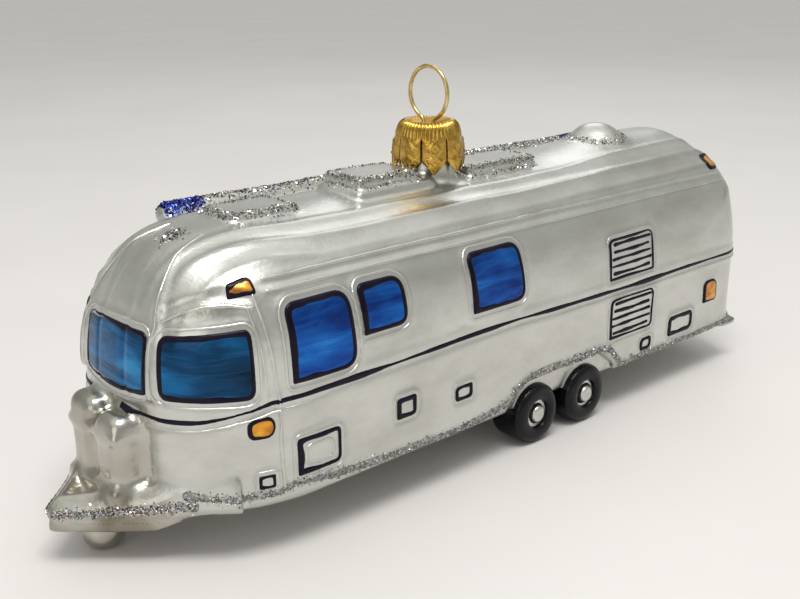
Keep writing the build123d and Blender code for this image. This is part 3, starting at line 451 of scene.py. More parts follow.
def roof_field():
    x, y, z = GX, GY, GZ
    fall, tail_fall = NOSE_X - NOSE_RUN, TAIL_X + TAIL_RUN
    pivot, tail_pivot = ROOF_Z - NOSE_ROOF, ROOF_Z - TAIL_ROOF
    turned = np.where(
        x > fall,
        pivot + np.hypot(x - fall, np.maximum(z - pivot, 0)),
        np.where(x < tail_fall, tail_pivot + np.hypot(x - tail_fall, np.maximum(z - tail_pivot, 0)), z),
    )
    # the crown flattens as it turns down into the tail
    behind, above = np.maximum(tail_fall - x, 0), np.maximum(z - tail_pivot, 0)
    turn = behind / np.maximum(np.hypot(behind, above), 1e-6)
    roof = np.hypot(y * (1 - 0.42 * turn**3), turned - ROOF_ARC_Z) - ROOF_ARC
    closing = fade(x, 40.0, 26.0)
    for at, height, width, close in ROOF_FACETS:
        roof -= height * bell(np.abs(y) - at + close * closing, width)
    # and rises a little between the two eaves before that
    swell = fade(-x, 24.0, 28.0)
    roof -= CROWN_RISE * swell * swell * (3 - 2 * swell) * bell(y, CROWN_WIDTH)
    return roof


def coach_field():
    x2, y2 = AX[0][:, None], AX[1][None, :]
    nose = np.where(x2 > NOSE_AXIS, np.hypot(x2 - NOSE_AXIS, y2) - NOSE_ARC, -NOSE_ARC)
    tail = np.hypot(x2 - TAIL_AXIS, y2) - TAIL_ARC
    side = np.abs(y2) - HALF + 0 * x2
    outline = np.where(x2 > 0, round_max(side, nose, NOSE_CORNER), round_max(side, tail, TAIL_CORNER))
    z = AX[2]
    rise = np.clip(z - BELT_Z, 0, 30)
    inset = SIDE_ARC - np.sqrt(SIDE_ARC**2 - rise**2)
    slant = np.sqrt(SIDE_ARC**2 - rise**2) / SIDE_ARC
    wall = (outline[:, :, None] + inset) * slant
    s = outline_s(x2 + 0 * y2, y2 + 0 * x2)
    wall -= relief_at(s[:, :, None], z)
    body = round_max(wall, roof_field(), EAVE_ROUND)
    return round_max(body, FLOOR_Z - GZ, FLOOR_ROUND)


def window(x0, x1, y0, y1, z0, z1):
    """Index slices and coordinate arrays of a block of the grid."""
    cuts = []
    for axis, ends in enumerate(((x0, x1), (y0, y1), (z0, z1))):
        cuts.append(slice(*np.searchsorted(AX[axis], ends)))
    return tuple(cuts), GX[cuts[0]], GY[:, cuts[1]], GZ[:, :, cuts[2]]


field = coach_field()


def melt(room, shape, k):
    """Adds a form to the glass inside a room (x0, x1, y0, y1, z0, z1)."""
    cut, x, y, z = window(*room)
    field[cut] = soft_min(field[cut], shape(x, y, z), k)


def wheel_arches():
    """Shallow lipped pockets in both sides."""
    depth = 1.5
    flat = poly_distance(AX[0][:, None], AX[2][None, :], ARCH)
    cut, x, y, z = window(-40, 10, -26, 26, 5, 18)
    for side in SIDES.values():
        pocket = np.maximum(flat[cut[0], cut[2]][:, None, :], (HALF - depth) - side * y)
        field[cut] = soft_max(field[cut], -pocket, 0.7)


def wheel(cx, side):
    def shape(x, y, z):
        r = np.hypot(x - cx, z - WHEEL_R) + 0 * y
        flat = np.abs(y - side * (WHEEL_Y - 3.9)) - 3.0
        return round_max(r - (WHEEL_R - 0.25), flat + 0 * r, 0.9)

    return shape


def drawbar(x, y, z):
    """Two straight arms from the hitch back into the nose, filled between."""
    a = np.abs(y)
    tip, root, spread = HITCH_X - 1.8, NOSE_X - 2.2, 14.0
    run, width = tip - root, spread - 2.0
    length = math.hypot(run, width)
    edge = ((x - root) * width + (a - spread) * run) / length
    outline = round_max(edge, x - HITCH_X + 0.1 * a, 1.3)
    # the top climbs to the nose, with a rolled beam along each arm
    beam = 1.5 * bell(edge + 1.9, 1.2)
    top = 10.5 + 0.12 * (NOSE_X + 4 - x) + beam
    top = top + 1.8 * fade(-x, -NOSE_X - 2.5, 8) ** 2
    bottom = 5.3 + 2.9 * fade(-x, -NOSE_X - 0.4, 6)
    slab = soft_max(z - top, bottom - z, 1.2)
    waist = 0.35 * bell(z - 7.6, 0.5) - 0.25 * bell(z - 8.9, 0.9)
    return round_max(outline + waist, slab, 1.0)


NEAR_BOTTLE = block(69.7, 3.9, 16.6, (4.3, 3.7, 7.2), 2.4)
FAR_BOTTLE = block(69.9, -3.7, 17.4, (4.1, 3.9, 7.7), 2.4)
BOTTLE_STRAP = block(69.3, 0, 20.4, (4.7, 7.5, 0.8), 0.7)
BOTTLE_FOOT = block(69.6, 0, 11.2, (5.2, 7.7, 1.2), 1.0)


def gas_cover(x, y, z):
    twin = soft_min(NEAR_BOTTLE(x, y, z), FAR_BOTTLE(x, y, z), 1.4)
    strapped = soft_min(twin, BOTTLE_STRAP(x, y, z), 1.0)
    return soft_min(strapped, BOTTLE_FOOT(x, y, z), 1.8)


JACK_X, JACK_RADIUS, JACK_MIDDLE = 73.2, 3.5, 4.2
# roof fittings: centre x, half length, half width, top above the roof line
ROOF_FITTINGS = ((42.2, 6.7, 5.0, 1.0), (14.0, 9.3, 6.0, 1.0), (15.0, 7.2, 5.0, 3.2), (-15.3, 9.6, 5.0, 1.8))
DOME_Z, DOME_RADIUS, DOME_SQUASH = 46.4, 7.8, 0.86
AWNING_MIDDLE, AWNING_HALF = -9.0, 57.6


def dome(x, y, z):
    return np.sqrt((x - DOME_X) ** 2 + y**2 + ((z - DOME_Z) * DOME_SQUASH) ** 2) - DOME_RADIUS


def awning_roll(x, y, z):
    past_end = np.maximum(np.abs(x - AWNING_MIDDLE) - AWNING_HALF, 0)
    return np.sqrt(past_end**2 + (y - AWNING_Y) ** 2 + (z - AWNING_Z) ** 2) - AWNING_R


wheel_arches()
for cx in WHEEL_X:
    for side in SIDES.values():
        melt((cx - 8, cx + 8, -26, 26, -1.5, 14), wheel(cx, side), 0.4)
melt((60, 86, -22, 22, 2, 18), drawbar, 1.2)
melt((58, 82, -12, 12, 8, 30), gas_cover, 1.4)
melt((66, 80, -6, 6, -1.5, 8), post(JACK_X, JACK_RADIUS, JACK_MIDDLE, JACK_MIDDLE, 2.6), 1.0)
for cx, hx, hy, top in ROOF_FITTINGS:
    fitting = block(cx, 0, ROOF_Z + top - 3, (hx, hy, 3.0), 0.9)
    melt((cx - hx - 4, cx + hx + 4, -hy - 4, hy + 4, 42, 56), fitting, 1.0)
melt((-62, -40, -11, 11, 44, 60), dome, 1.6)
melt((-72, 54, -20, -10, 40, 54), awning_roll, 1.2)
melt((-9, 11, -10, 10, 44, 62), post(NECK_X, NECK_RADIUS, 50, NECK_TOP - 50, 0.6), 2.6)
# tail flange, a thin ledge with pointed corners
melt((-86, -70, -26, 26, 5, 14), block(-74.8, 0, 8.95, (2.5, 23.1, 0.7), 0.4), 0.8)
# the open bore of the neck
cut, x, y, z = window(-5, 7, -6, 6, 46, 62)
bore = np.maximum(np.hypot(x - NECK_X, y) - NECK_BORE, 47.5 - z)
field[cut] = soft_max(field[cut], -bore, 0.3)
# unevenness of a mouth-blown wall
field += 0.11 * np.sin(GX / 6.1 + 1.3 * np.sin(GZ / 7.3)) * np.sin(GY / 5.3 + GZ / 6.4 + 0.7)
field += 0.06 * np.sin(GX / 3.1 + GZ / 4.3) * np.sin(GZ / 2.9 - GY / 3.7)
field = field.astype(np.float32)


def grid_at(grid, p):
    """Grid value at points, trilinear."""
    g = (p - LOW) / STEP
    g = np.clip(g, 0, np.array(grid.shape) - 1.001)
    i = g.astype(int)
    f = g - i
    value = 0
    for corner in np.ndindex(2, 2, 2):
        weight = np.prod(np.where(corner, f, 1 - f), axis=1)
        value = value + weight * grid[tuple((i + corner).T)]
    return value


def field_at(p):
    return grid_at(field, p)


def normal_at(p, reach=0.35):
    return unit(columns(*[field_at(p + step) - field_at(p - step) for step in reach * np.eye(3)]))


def settle(p, direction, steps=14):
    """Walks points along a direction until they lie on the glass."""
    p = p.copy()
    for _ in range(steps):
        p += direction * (field_at(p) * 0.9)[:, None]
    return p


def on_wall(s, z):
    """Glass surface points and normals at wall coordinates."""
    x, y, nx, ny = plan(s)
    out = columns(nx, ny, np.zeros_like(nx))
    rise = np.clip(z - BELT_Z, 0, 24)
    inset = SIDE_ARC - np.sqrt(SIDE_ARC**2 - rise**2)
    start = columns(x, y, z) + out * (1.2 - inset)[:, None]
    p = settle(start, -out)
    return p, normal_at(p)


def on_roof(x, y):
    """Glass surface points and normals straight under points above the roof."""
    top = ROOF_ARC_Z + np.sqrt(np.maximum(ROOF_ARC**2 - y**2, 1)) + 5
    down = np.zeros((len(x), 3))
    down[:, 2] = -1
    p = settle(columns(x, y, top), down, 24)
    return p, normal_at(p)


# ---- Meshes ----
def add_object(name, data):
    obj = bpy.data.objects.new(name, data)
    bpy.context.scene.collection.objects.link(obj)
    return obj


def make(name, points, faces, body, slot, material, smooth=True, **attributes):
    """Mesh object from millimetre points, with numbers at its points for the material."""
    mesh = bpy.data.meshes.new(name)
    corners = (np.asarray(points) * MM).tolist()
    mesh.from_pydata(corners, [], np.asarray(faces).tolist(), shade_flat=not smooth)
    for key, values in attributes.items():
        layer = mesh.attributes.new(key, "FLOAT", "POINT")
        layer.data.foreach_set("value", values)
    mesh.validate()
    mesh.materials.append(material)
    obj = add_object(name, mesh)
    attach(obj, body)
    return obj


def curvature():
    """How hollow the glass is round each grid point, from a blurred copy of the field."""
    soft = field.copy()
    for _ in range(3):
        for axis in range(3):
            soft = (np.roll(soft, 1, axis) + 2 * soft + np.roll(soft, -1, axis)) / 4
    return field - soft


# ---- Materials ----
class Nodes:
    """Short hand for building the node tree of a material or a world."""

    def __init__(self, owner, shader="Principled BSDF", coords="Object"):
        owner.use_nodes = True
        self.owner = owner
        self.tree = owner.node_tree
        self.shader = self.tree.nodes[shader]
        self.coords = self.tree.nodes.new("ShaderNodeTexCoord").outputs[coords]

    def add(self, kind, inputs, **settings):
        node = self.tree.nodes.new(kind)
        for key, value in settings.items():
            setattr(node, key, value)
        for key, value in inputs.items():
            if isinstance(value, bpy.types.NodeSocket):
                self.tree.links.new(value, node.inputs[key])
            else:
                node.inputs[key].default_value = value
        return node

    def noise(self, scale, detail=3.0, rough=0.55, stretch=(1, 1, 1), distortion=0.0):
        mapping = self.add("ShaderNodeMapping", {"Vector": self.coords, "Scale": stretch})
        settings = {"Scale": scale, "Detail": detail, "Roughness": rough, "Distortion": distortion}
        node = self.add("ShaderNodeTexNoise", {"Vector": mapping.outputs[0], **settings})
        return node.outputs["Fac"]

    def ramp(self, fac, stops):
        node = self.add("ShaderNodeValToRGB", {"Fac": fac})
        elements = node.color_ramp.elements
        while len(elements) < len(stops):
            elements.new(0.5)
        for element, (at, colour) in zip(elements, stops):
            element.position = at
            element.color = (*colour, 1.0)
        return node.outputs["Color"]

    def scale(self, value, low, high, from_low=0.0, from_high=1.0):
        ends = {"From Min": from_low, "From Max": from_high, "To Min": low, "To Max": high}
        return self.add("ShaderNodeMapRange", {"Value": value, **ends}).outputs[0]

    def mix(self, fac, a, b, blend="MIX"):
        node = self.add("ShaderNodeMix", {0: fac, 6: a, 7: b}, data_type="RGBA", blend_type=blend)
        return node.outputs[2]

    def mix_number(self, fac, a, b):
        return self.add("ShaderNodeMix", {0: fac, 2: a, 3: b}, data_type="FLOAT").outputs[0]

    def math(self, operation, a, b):
        return self.add("ShaderNodeMath", {0: a, 1: b}, operation=operation).outputs[0]

    def attribute(self, name):
        return self.add("ShaderNodeAttribute", {}, attribute_name=name).outputs["Fac"]

    def bump(self, height, distance):
        node = self.add("ShaderNodeBump", {"Height": height, "Distance": distance})
        self.link(node.outputs[0], "Normal")

    def link(self, value, key):
        self.tree.links.new(value, self.shader.inputs[key])

    def set(self, **values):
        for key, value in values.items():
            self.shader.inputs[key.replace("_", " ")].default_value = value


def material_nodes(name):
    return Nodes(bpy.data.materials.new(name))


def glass_material():
    """Frosted pearl lacquer over silvering, worn thin to bare mirror where the brush missed."""
    n = material_nodes("silvered_glass_finish")
    hollow = n.attribute("hollow")
    patch = n.math("ADD", n.math("MULTIPLY", n.noise(95.0, 4.0, 0.6), 0.9), -0.45)
    bare = n.ramp(n.math("ADD", n.attribute("bare"), patch), [(0.32, (0, 0, 0)), (0.62, (1, 1, 1))])
    cloud = n.noise(60.0, 5.0, 0.65, (1.0, 1.0, 2.2))
    pearl = [(0.25, (0.50, 0.50, 0.46)), (0.55, (0.62, 0.625, 0.59)), (0.8, (0.70, 0.705, 0.67))]
    # the lacquer darkens towards the hollows of the glass: partly dirt, partly painted shade in the creases
    dirt_and_shade = n.ramp(hollow, [(0.0, (1, 1, 1)), (1.0, (0.80, 0.80, 0.78))])
    lacquer = n.mix(1.0, n.ramp(cloud, pearl), dirt_and_shade, "MULTIPLY")
    # the bare silver's browns: partly tarnish, partly a painted reflection of brown surroundings
    tarnish_and_reflection = n.noise(55.0, 3.0, 0.5)
    silver = [(0.32, (0.16, 0.13, 0.085)), (0.48, (0.40, 0.38, 0.32)), (0.75, (0.58, 0.57, 0.53))]
    n.link(n.mix(bare, lacquer, n.ramp(tarnish_and_reflection, silver)), "Base Color")
    satin = n.scale(n.noise(900.0, 2.0, 0.5), 0.25, 0.38)
    n.link(n.mix_number(bare, satin, n.scale(tarnish_and_reflection, 0.12, 0.3)), "Roughness")
    n.set(Metallic=0.92, Coat_Weight=0.25, Coat_Roughness=0.18)
    grain, ripple = n.noise(1500.0, 2.0, 0.5), n.noise(140.0, 3.0, 0.5)
    n.bump(n.math("ADD", n.math("MULTIPLY", grain, 0.4), ripple), 0.00009)
    return n.owner


BLUE_TONES = (0.38, 0.5, 0.62, 0.76)
SIDE_BLUES = ((0.002, 0.010, 0.10), (0.004, 0.050, 0.30), (0.010, 0.13, 0.52), (0.03, 0.27, 0.74))
END_BLUES = ((0.002, 0.016, 0.04), (0.004, 0.055, 0.15), (0.010, 0.14, 0.36), (0.03, 0.28, 0.58))
END_FROM, END_TO = 0.0525, 0.0555  # x in metres, where the end windows' greener blue takes over


def blue_material():
    """Transparent blue lacquer brushed over silvering, darker where it pooled."""
    n = material_nodes("blue_enamel_finish")
    strokes = n.noise(150.0, 4.0, 0.6, (0.45, 0.45, 2.6), 0.6)
    pools = n.noise(70.0, 2.0, 0.5)
    tone = n.math("ADD", n.math("MULTIPLY", strokes, 0.6), n.math("MULTIPLY", pools, 0.5))
    side_blue = n.ramp(tone, list(zip(BLUE_TONES, SIDE_BLUES)))
    end_blue = n.ramp(tone, list(zip(BLUE_TONES, END_BLUES)))
    x = n.add("ShaderNodeSeparateXYZ", {0: n.coords}).outputs[0]
    n.link(n.mix(n.scale(x, 0.0, 1.0, END_FROM, END_TO), side_blue, end_blue), "Base Color")
    n.set(Metallic=0.9, Roughness=0.3, Coat_Weight=0.15, Coat_Roughness=0.05)
    n.bump(strokes, 0.00022)
    return n.owner


def grained_material(name, noise, stops, bump, shine=None, dents=None, **settings):
    """One noise colours the surface and, from a shine range, its roughness; it or dents bump it."""
    n = material_nodes(name)
    grain = n.noise(*noise)
    n.link(n.ramp(grain, stops), "Base Color")
    if shine:
        n.link(n.scale(grain, *shine), "Roughness")
    n.set(**settings)
    n.bump(n.noise(*dents) if dents else grain, bump)
    return n.owner


def flake_material(name, stops, metallic):
    """Each flake takes one colour from the stops."""
    n = material_nodes(name)
    n.link(n.ramp(n.attribute("tint"), stops), "Base Color")
    n.set(Metallic=metallic, Roughness=0.12, Coat_Weight=0.4, Coat_Roughness=0.05)
    n.bump(n.noise(2600.0, 1.0), 0.00003)
    return n.owner


# colours by the height of the noise, from its dark to its pale stop
BLACKS = [(0.3, (0.003, 0.002, 0.007)), (0.75, (0.012, 0.009, 0.022))]
TYRE_BLACKS = [(0.35, (0.002, 0.002, 0.003)), (0.8, (0.010, 0.010, 0.012))]
AMBERS = [(0.3, (0.22, 0.06, 0.004)), (0.5, (0.68, 0.26, 0.008)), (0.7, (0.90, 0.52, 0.025))]
GLUES = [(0.35, (0.10, 0.10, 0.095)), (0.7, (0.52, 0.52, 0.49))]
GOLDS = [(0.3, (0.36, 0.20, 0.03)), (0.6, (0.62, 0.39, 0.08)), (0.85, (0.82, 0.57, 0.17))]
BRASSES = [(0.3, (0.48, 0.33, 0.11)), (0.7, (0.80, 0.62, 0.30))]
GLASS = glass_material()
BLUE = blue_material()
dry_look = dict(shine=(0.12, 0.3), Specular_IOR_Level=0.13)
BLACK = grained_material("black_enamel_finish", (260.0, 3.0, 0.5), BLACKS, 0.00008, **dry_look)
wet_look = dict(shine=(0.08, 0.22), Specular_IOR_Level=0.22)
TYRE = grained_material("tyre_lacquer_finish", (380.0, 4.0, 0.6), TYRE_BLACKS, 0.00012, **wet_look)
clear_look = dict(Metallic=0.6, Roughness=0.25, Coat_Weight=0.5, Coat_Roughness=0.05)
AMBER = grained_material("amber_enamel_finish", (240.0, 3.0, 0.5, (1, 1, 2)), AMBERS, 0.00008, **clear_look)
dull_look = dict(Metallic=0.5, Roughness=0.45)
SILVER_GLUE = grained_material("silver_glitter_glue", (1400.0, 3.0, 0.7), GLUES, 0.00025, **dull_look)
stamped_look = dict(shine=(0.10, 0.24), dents=(700.0, 3.0), Metallic=1.0)
GOLD = grained_material("gold_cap_finish", (420.0, 3.0, 0.6), GOLDS, 0.00009, **stamped_look)
drawn_look = dict(shine=(0.14, 0.28), Metallic=1.0)
WIRE = grained_material("brass_wire_finish", (700.0, 3.0, 0.5, (1, 1, 0.2)), BRASSES, 0.00003, **drawn_look)
SILVER_STOPS = [
    (0.0, (0.03, 0.03, 0.03)),
    (0.28, (0.16, 0.16, 0.155)),
    (0.52, (0.42, 0.42, 0.41)),
    (0.68, (0.90, 0.90, 0.90)),
    (0.78, (0.62, 0.55, 0.80)),
    (0.88, (0.80, 0.62, 0.45)),
    (1.0, (0.55, 0.80, 0.62)),
]
BLUE_STOPS = [
    (0.0, (0.004, 0.006, 0.09)),
    (0.5, (0.015, 0.03, 0.33)),
    (0.85, (0.05, 0.10, 0.62)),
    (1.0, (0.45, 0.55, 0.95)),
]
SILVER_FLAKES = flake_material("silver_glitter_finish", SILVER_STOPS, 0.9)
BLUE_FLAKES = flake_material("blue_glitter_finish", BLUE_STOPS, 0.75)


# ---- Glass mesh ----
def bareness(p, hollow):
    """Where the pearl lacquer is thin, from 0 to 1."""
    x, y, z = p.T
    bare = np.full(len(p), 0.12)
    cover = fade(x, 65.5, 3.0) * fade(-z, -26.4, 1.5) * fade(-np.abs(y), -10.5, 2.0)
    tongue = fade(x, 67.5, 1.5) * fade(-z, -16.0, 1.5)
    bare = np.maximum(bare, 0.62 * np.maximum(cover, tongue))
    neck = fade(-np.hypot(x - NECK_X, y), -7.5, 2.0) * fade(z, 46.5, 1.5)
    bare = np.maximum(bare, 0.5 * neck)
    brow = bell(np.abs(outline_s(x, y)) - 20.0, 9.0) * bell(z - 41.0, 2.6)
    bare = np.maximum(bare, 0.66 * brow)
    under_nose = fade(-z, -8.7, 0.6) * (x > 60)
    # the hollows are a little barer and so darker: partly thinner lacquer, partly painted shade in the
    # creases
    return np.maximum(bare, 0.5 * under_nose) + 0.05 * hollow


def glass_mesh():
    band = 4.0
    grid = vdb.FloatGrid(band)
    grid.copyFromArray(np.clip(field, -band, band))
    points, quads = grid.convertToQuads(0.0)
    p = points.astype(float) * STEP + LOW
    for _ in range(2):
        p -= normal_at(p) * field_at(p)[:, None]
    # how hollow the glass is; the material darkens the hollows by it, partly as painted shade
    hollow = np.clip(-grid_at(curvature(), p) * 9.0 - 0.1, 0, 1)
    bare = bareness(p, hollow)
    return make("glass_blow", p, quads, "ornament", "silvered_glass", GLASS, bare=bare, hollow=hollow)


glass = glass_mesh()
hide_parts("glass_body")


# ---- Painted films ----
def film(name, parts, slot, material, step=0.28, height=0.2, edge=0.45):
    """Paint laid over the wall where each part's distance function is negative."""
    sink, probe = 0.05, 0.02
    all_points, all_faces, count = [], [], 0
    for ((u0, u1), (v0, v1)), distance in parts:
        us, vs = np.arange(u0 - step, u1 + 2 * step, step), np.arange(v0 - step, v1 + 2 * step, step)
        gu, gv = np.meshgrid(us, vs, indexing="ij")
        d = distance(gu, gv)
        keep = (d[:-1, :-1] < 0) | (d[1:, :-1] < 0) | (d[1:, 1:] < 0) | (d[:-1, 1:] < 0)
        if not keep.any():
            continue
        # points outside the shape are pulled back to its edge
        du = (distance(gu + probe, gv) - distance(gu - probe, gv)) / (2 * probe)
        dv = (distance(gu, gv + probe) - distance(gu, gv - probe)) / (2 * probe)
        size = np.maximum(du**2 + dv**2, 0.2)
        out = d > 0
        pull = np.where(out, np.minimum(d, 1.5 * step), 0)
        gu, gv = gu - pull * du / size, gv - pull * dv / size
        rise = np.where(out, 0, np.sqrt(np.clip(1 - (1 + np.clip(d, -edge, 0) / edge) ** 2, 0, 1)))
        used = np.zeros(d.shape, dtype=bool)
        for i, j in ((0, 0), (1, 0), (1, 1), (0, 1)):
            used[i : i + keep.shape[0], j : j + keep.shape[1]] |= keep
        index = -np.ones(d.shape, dtype=np.int64)
        index[used] = np.arange(used.sum()) + count
        p, n = on_wall(gu[used], gv[used])
        p = p + n * (rise[used] * (height + sink) - sink)[:, None]
        i, j = np.nonzero(keep)
        faces = columns(index[i, j], index[i + 1, j], index[i + 1, j + 1], index[i, j + 1])
        a, b, c = p[faces[0] - count][:3]
        flip = np.dot(np.cross(b - a, c - a), n[faces[0, 0] - count]) < 0
        all_faces.append(faces[:, ::-1] if flip else faces)
        all_points.append(p)
        count += len(p)
    return make(name, np.vstack(all_points), np.vstack(all_faces), "ornament", slot, material)


def bounds_of(shape, reach=0.0):
    (u0, v0), (u1, v1) = np.min(shape, axis=0) - reach, np.max(shape, axis=0) + reach
    return (u0, u1), (v0, v1)


def pane_part(shape, inset):
    return bounds_of(shape), lambda u, v: poly_distance(u, v, shape) + inset


def ring_part(shape, width, seed=0):
    """A brushed line inside an outline, thicker at the end that the brush started from."""
    near, far = np.abs(shape[:, 0]).min(), np.abs(shape[:, 0]).max()

    def distance(u, v):
        ahead = np.clip(1 - 2 * (np.abs(u) - near) / (far - near), 0, 1)
        w = width * (1 + 0.24 * wobble(u, v, 3.5, seed) + 0.4 * ahead)
        w = np.where((u < 4) & (u > -13), w * np.clip((u + 12) / 16, 0.3, 1), w)
        return np.abs(poly_distance(u, v, shape) + w / 2) - w / 2

    return bounds_of(shape), distance


def line_part(path, width, seed=0):
    path = np.asarray(path, dtype=float)

    def distance(u, v):
        w = width * (1 + 0.25 * wobble(u, v, 2.5, seed))
        return path_distance(u, v, path) - w / 2

    return bounds_of(path, width), distance


def moulding_part(shape, offset, width):
    """A crisp raised line a little way outside an outline."""

    def distance(u, v):
        return np.abs(poly_distance(u, v, shape) - offset) - width / 2

    return bounds_of(shape, offset + width), distance


def mouldings():
    parts = []
    for name, shapes in PANES.items():
        parts += [moulding_part(shape, 0.85, 0.45) for shape in shapes]
        parts += [moulding_part(shape, 0.6, 0.35) for shape, _ in FRAMES.get(name, [])]
    parts.append(moulding_part(HATCH_OVAL, 0.0, 0.45))
    for side in SIDES.values():
        for line, width in SEAM_LINES:
            parts.append(line_part([(side * s, z) for s, z in line], width, 70))
    film("mouldings", parts, "silvered_glass", GLASS, step=0.2, height=0.15, edge=0.26)


def grille_slats():
    parts = []
    for rear, front, low, high in GRILLES:
        for i, z in enumerate(np.linspace(low, high, 5)):
            start = SX - front + 0.5 * math.sin(5 * i)
            end = SX - rear - 0.4 * math.cos(4 * i)
            bow = 0.12 * math.sin(2.3 * i + low)
            slat = [(start, z), (SX - (rear + front) / 2, z + bow), (end, z + 0.1)]
            parts.append(line_part(slat, 0.72, 40 + i))
    return parts


mouldings()
for name, shapes in PANES.items():
    parts = [pane_part(shape, 0.55) for shape in shapes]
    panes = film("panes_" + name, parts, "blue_enamel", BLUE, height=0.16, edge=0.6)
    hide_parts("window_enamel_" + name)
    parts = [ring_part(shape, 0.95, i) for i, shape in enumerate(shapes)]
    parts += [ring_part(shape, width, 20 + i) for i, (shape, width) in enumerate(FRAMES.get(name, []))]
    parts += [ring_part(shape, 0.8, 60 + i) for i, shape in enumerate(LAMPS.get(name, []))]
    if name == "left":
        parts += grille_slats()
    title = "outlines_" + name
    outline = film(title, parts, "black_enamel", BLACK, step=0.2, height=0.26, edge=0.4)
    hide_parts("outline_enamel_" + name)
parts = [pane_part(shape, 0.0) for shape in sum(LAMPS.values(), [])]
lamps = film("lamps", parts, "amber_enamel", AMBER, step=0.2, height=0.2, edge=0.7)
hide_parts("lamp_enamel")


def belt_distance(u, v):
    w = 0.85 * (1 + 0.45 * wobble(u, 0 * v, 9.0, 5))
    z = belt_height(u) + 0.14 * wobble(u, 0 * v, 14.0, 6)
    return np.abs(v - z) - w / 2


# the line stops where the gas cover hides it
parts = [(((start, end), (22.8, 27.8)), belt_distance) for start, end in ((3.0, S5), (-S5, -9.0))]
belt = film("belt_line", parts, "black_enamel", BLACK, step=0.24, height=0.16, edge=0.35)
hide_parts("belt_line_enamel")


# ---- Wheels ----
# (radius, distance from the middle plane)
TYRE_SIDE = [(0.9, 22.75), (1.8, 22.7), (2.15, 22.3), (2.6, 22.25), (2.95, 22.95), (3.3, 23.12)]
TYRE_TREAD = [(3.9, 23.2), (4.8, 23.12), (5.5, 22.8), (5.9, 22.2), (6.0, 21.2), (6.0, 19.0)]
TYRE_BACK = [(6.0, 17.0), (5.8, 16.1), (5.2, 15.75), (4.0, 15.7)]
HUB = [(0.02, 23.45), (0.6, 23.44), (1.15, 23.35), (1.5, 23.15), (1.68, 22.8), (1.7, 22.5)]


def on_wheels(profile, segments, seed):
    """Points and faces of a profile turned at all four wheels, each a little out of round."""
    profile = smooth_path(profile, 4)
    m = len(profile)
    angle = np.linspace(0, 2 * math.pi, segments, endpoint=False)[:, None]
    i, j = np.meshgrid(np.arange(segments), np.arange(m - 1), indexing="ij")
    a, b = i * m + j, ((i + 1) % segments) * m + j
    quads = np.stack([a, b, b + 1, a + 1], axis=2).reshape(-1, 4)
    points, faces = [], []
    for k, cx in enumerate(WHEEL_X, start=seed):
        r = profile[:, 0] * (1 + 0.006 * np.sin(3 * angle + k))
        y = profile[:, 1] + 0.05 * np.sin(2 * angle + k * 2)
        for side in SIDES.values():
            p = np.stack([cx + r * np.cos(angle), side * y, WHEEL_R + r * np.sin(angle)], axis=2)
            faces.append((quads if side < 0 else quads[:, ::-1]) + segments * m * len(points))
            points.append(p.reshape(-1, 3))
    return np.vstack(points), np.vstack(faces)


points, faces = on_wheels(TYRE_SIDE + TYRE_TREAD + TYRE_BACK, 72, 0)
tyres = make("tyres", points, faces, "ornament", "black_enamel", TYRE)
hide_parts("tyre_lacquer")
points, faces = on_wheels(HUB, 40, 2)
bare, hollow = np.full(len(points), 0.35), np.zeros(len(points))
make("hubs", points, faces, "ornament", "silvered_glass", GLASS, bare=bare, hollow=hollow)


# ---- Glitter ----
def flakes(name, centres, normals, slot, material, size):
    """Many tiny angular flakes glued at points, each tipped its own way."""
    count = len(centres)
    n = unit(normals + RNG.normal(0, 0.55, (count, 3)))
    u = unit(np.cross(n, RNG.normal(0, 1, (count, 3))))
    v = np.cross(n, u)
    radius = size * RNG.uniform(0.55, 1.35, count)
    lift = 0.12 * RNG.uniform(0.2, 1.6, count)
    centres = centres + normals * lift[:, None]
    points = []
    for k in range(4):
        a = math.pi / 2 * k + RNG.normal(0, 0.25, count)
        r = radius * RNG.uniform(0.7, 1.2, count)
        points.append(centres + u * (r * np.cos(a))[:, None] + v * (r * np.sin(a))[:, None])
    p = columns(*points).reshape(-1, 3)
    faces = np.arange(count * 4).reshape(-1, 4)
    tint = np.repeat(RNG.uniform(0, 1, count), 4)
    return make(name, p, faces, "ornament", slot, material, smooth=False, tint=tint)


def scatter_path(path, width, density):
    """Random points along a line, thickest in the middle."""
    path = np.asarray(path, dtype=float)
    step = np.diff(path, axis=0)
    length = np.hypot(*step.T)
    count = int(length.sum() * width * density)
    at = RNG.choice(len(step), count, p=length / length.sum())
    t = RNG.uniform(0, 1, count)
    across = RNG.normal(0, width * 0.28, count)
    side = unit(columns(-step[:, 1], step[:, 0]))
    return path[at] + step[at] * t[:, None] + side[at] * across[:, None]


BEHIND_COVER = 15.0  # up to this s, the gas cover hides the skirt
skirts = [SKIRT_PATH * (side, 1) for side in SIDES.values()]
uv = np.vstack([scatter_path(path, 1.5, 20) for path in skirts])
uv = uv[np.abs(uv[:, 0]) >= BEHIND_COVER]
p, n = on_wall(uv[:, 0], uv[:, 1])
flakes("skirt_flakes", p, n, "silver_glitter", SILVER_FLAKES, 0.15)
parts = [line_part(path[np.abs(path[:, 0]) > BEHIND_COVER], 1.35, 9) for path in skirts]
glue = film("skirt_glue", parts, "silver_glitter", SILVER_GLUE, step=0.35, height=0.14, edge=0.5)
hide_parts("skirt_glitter")


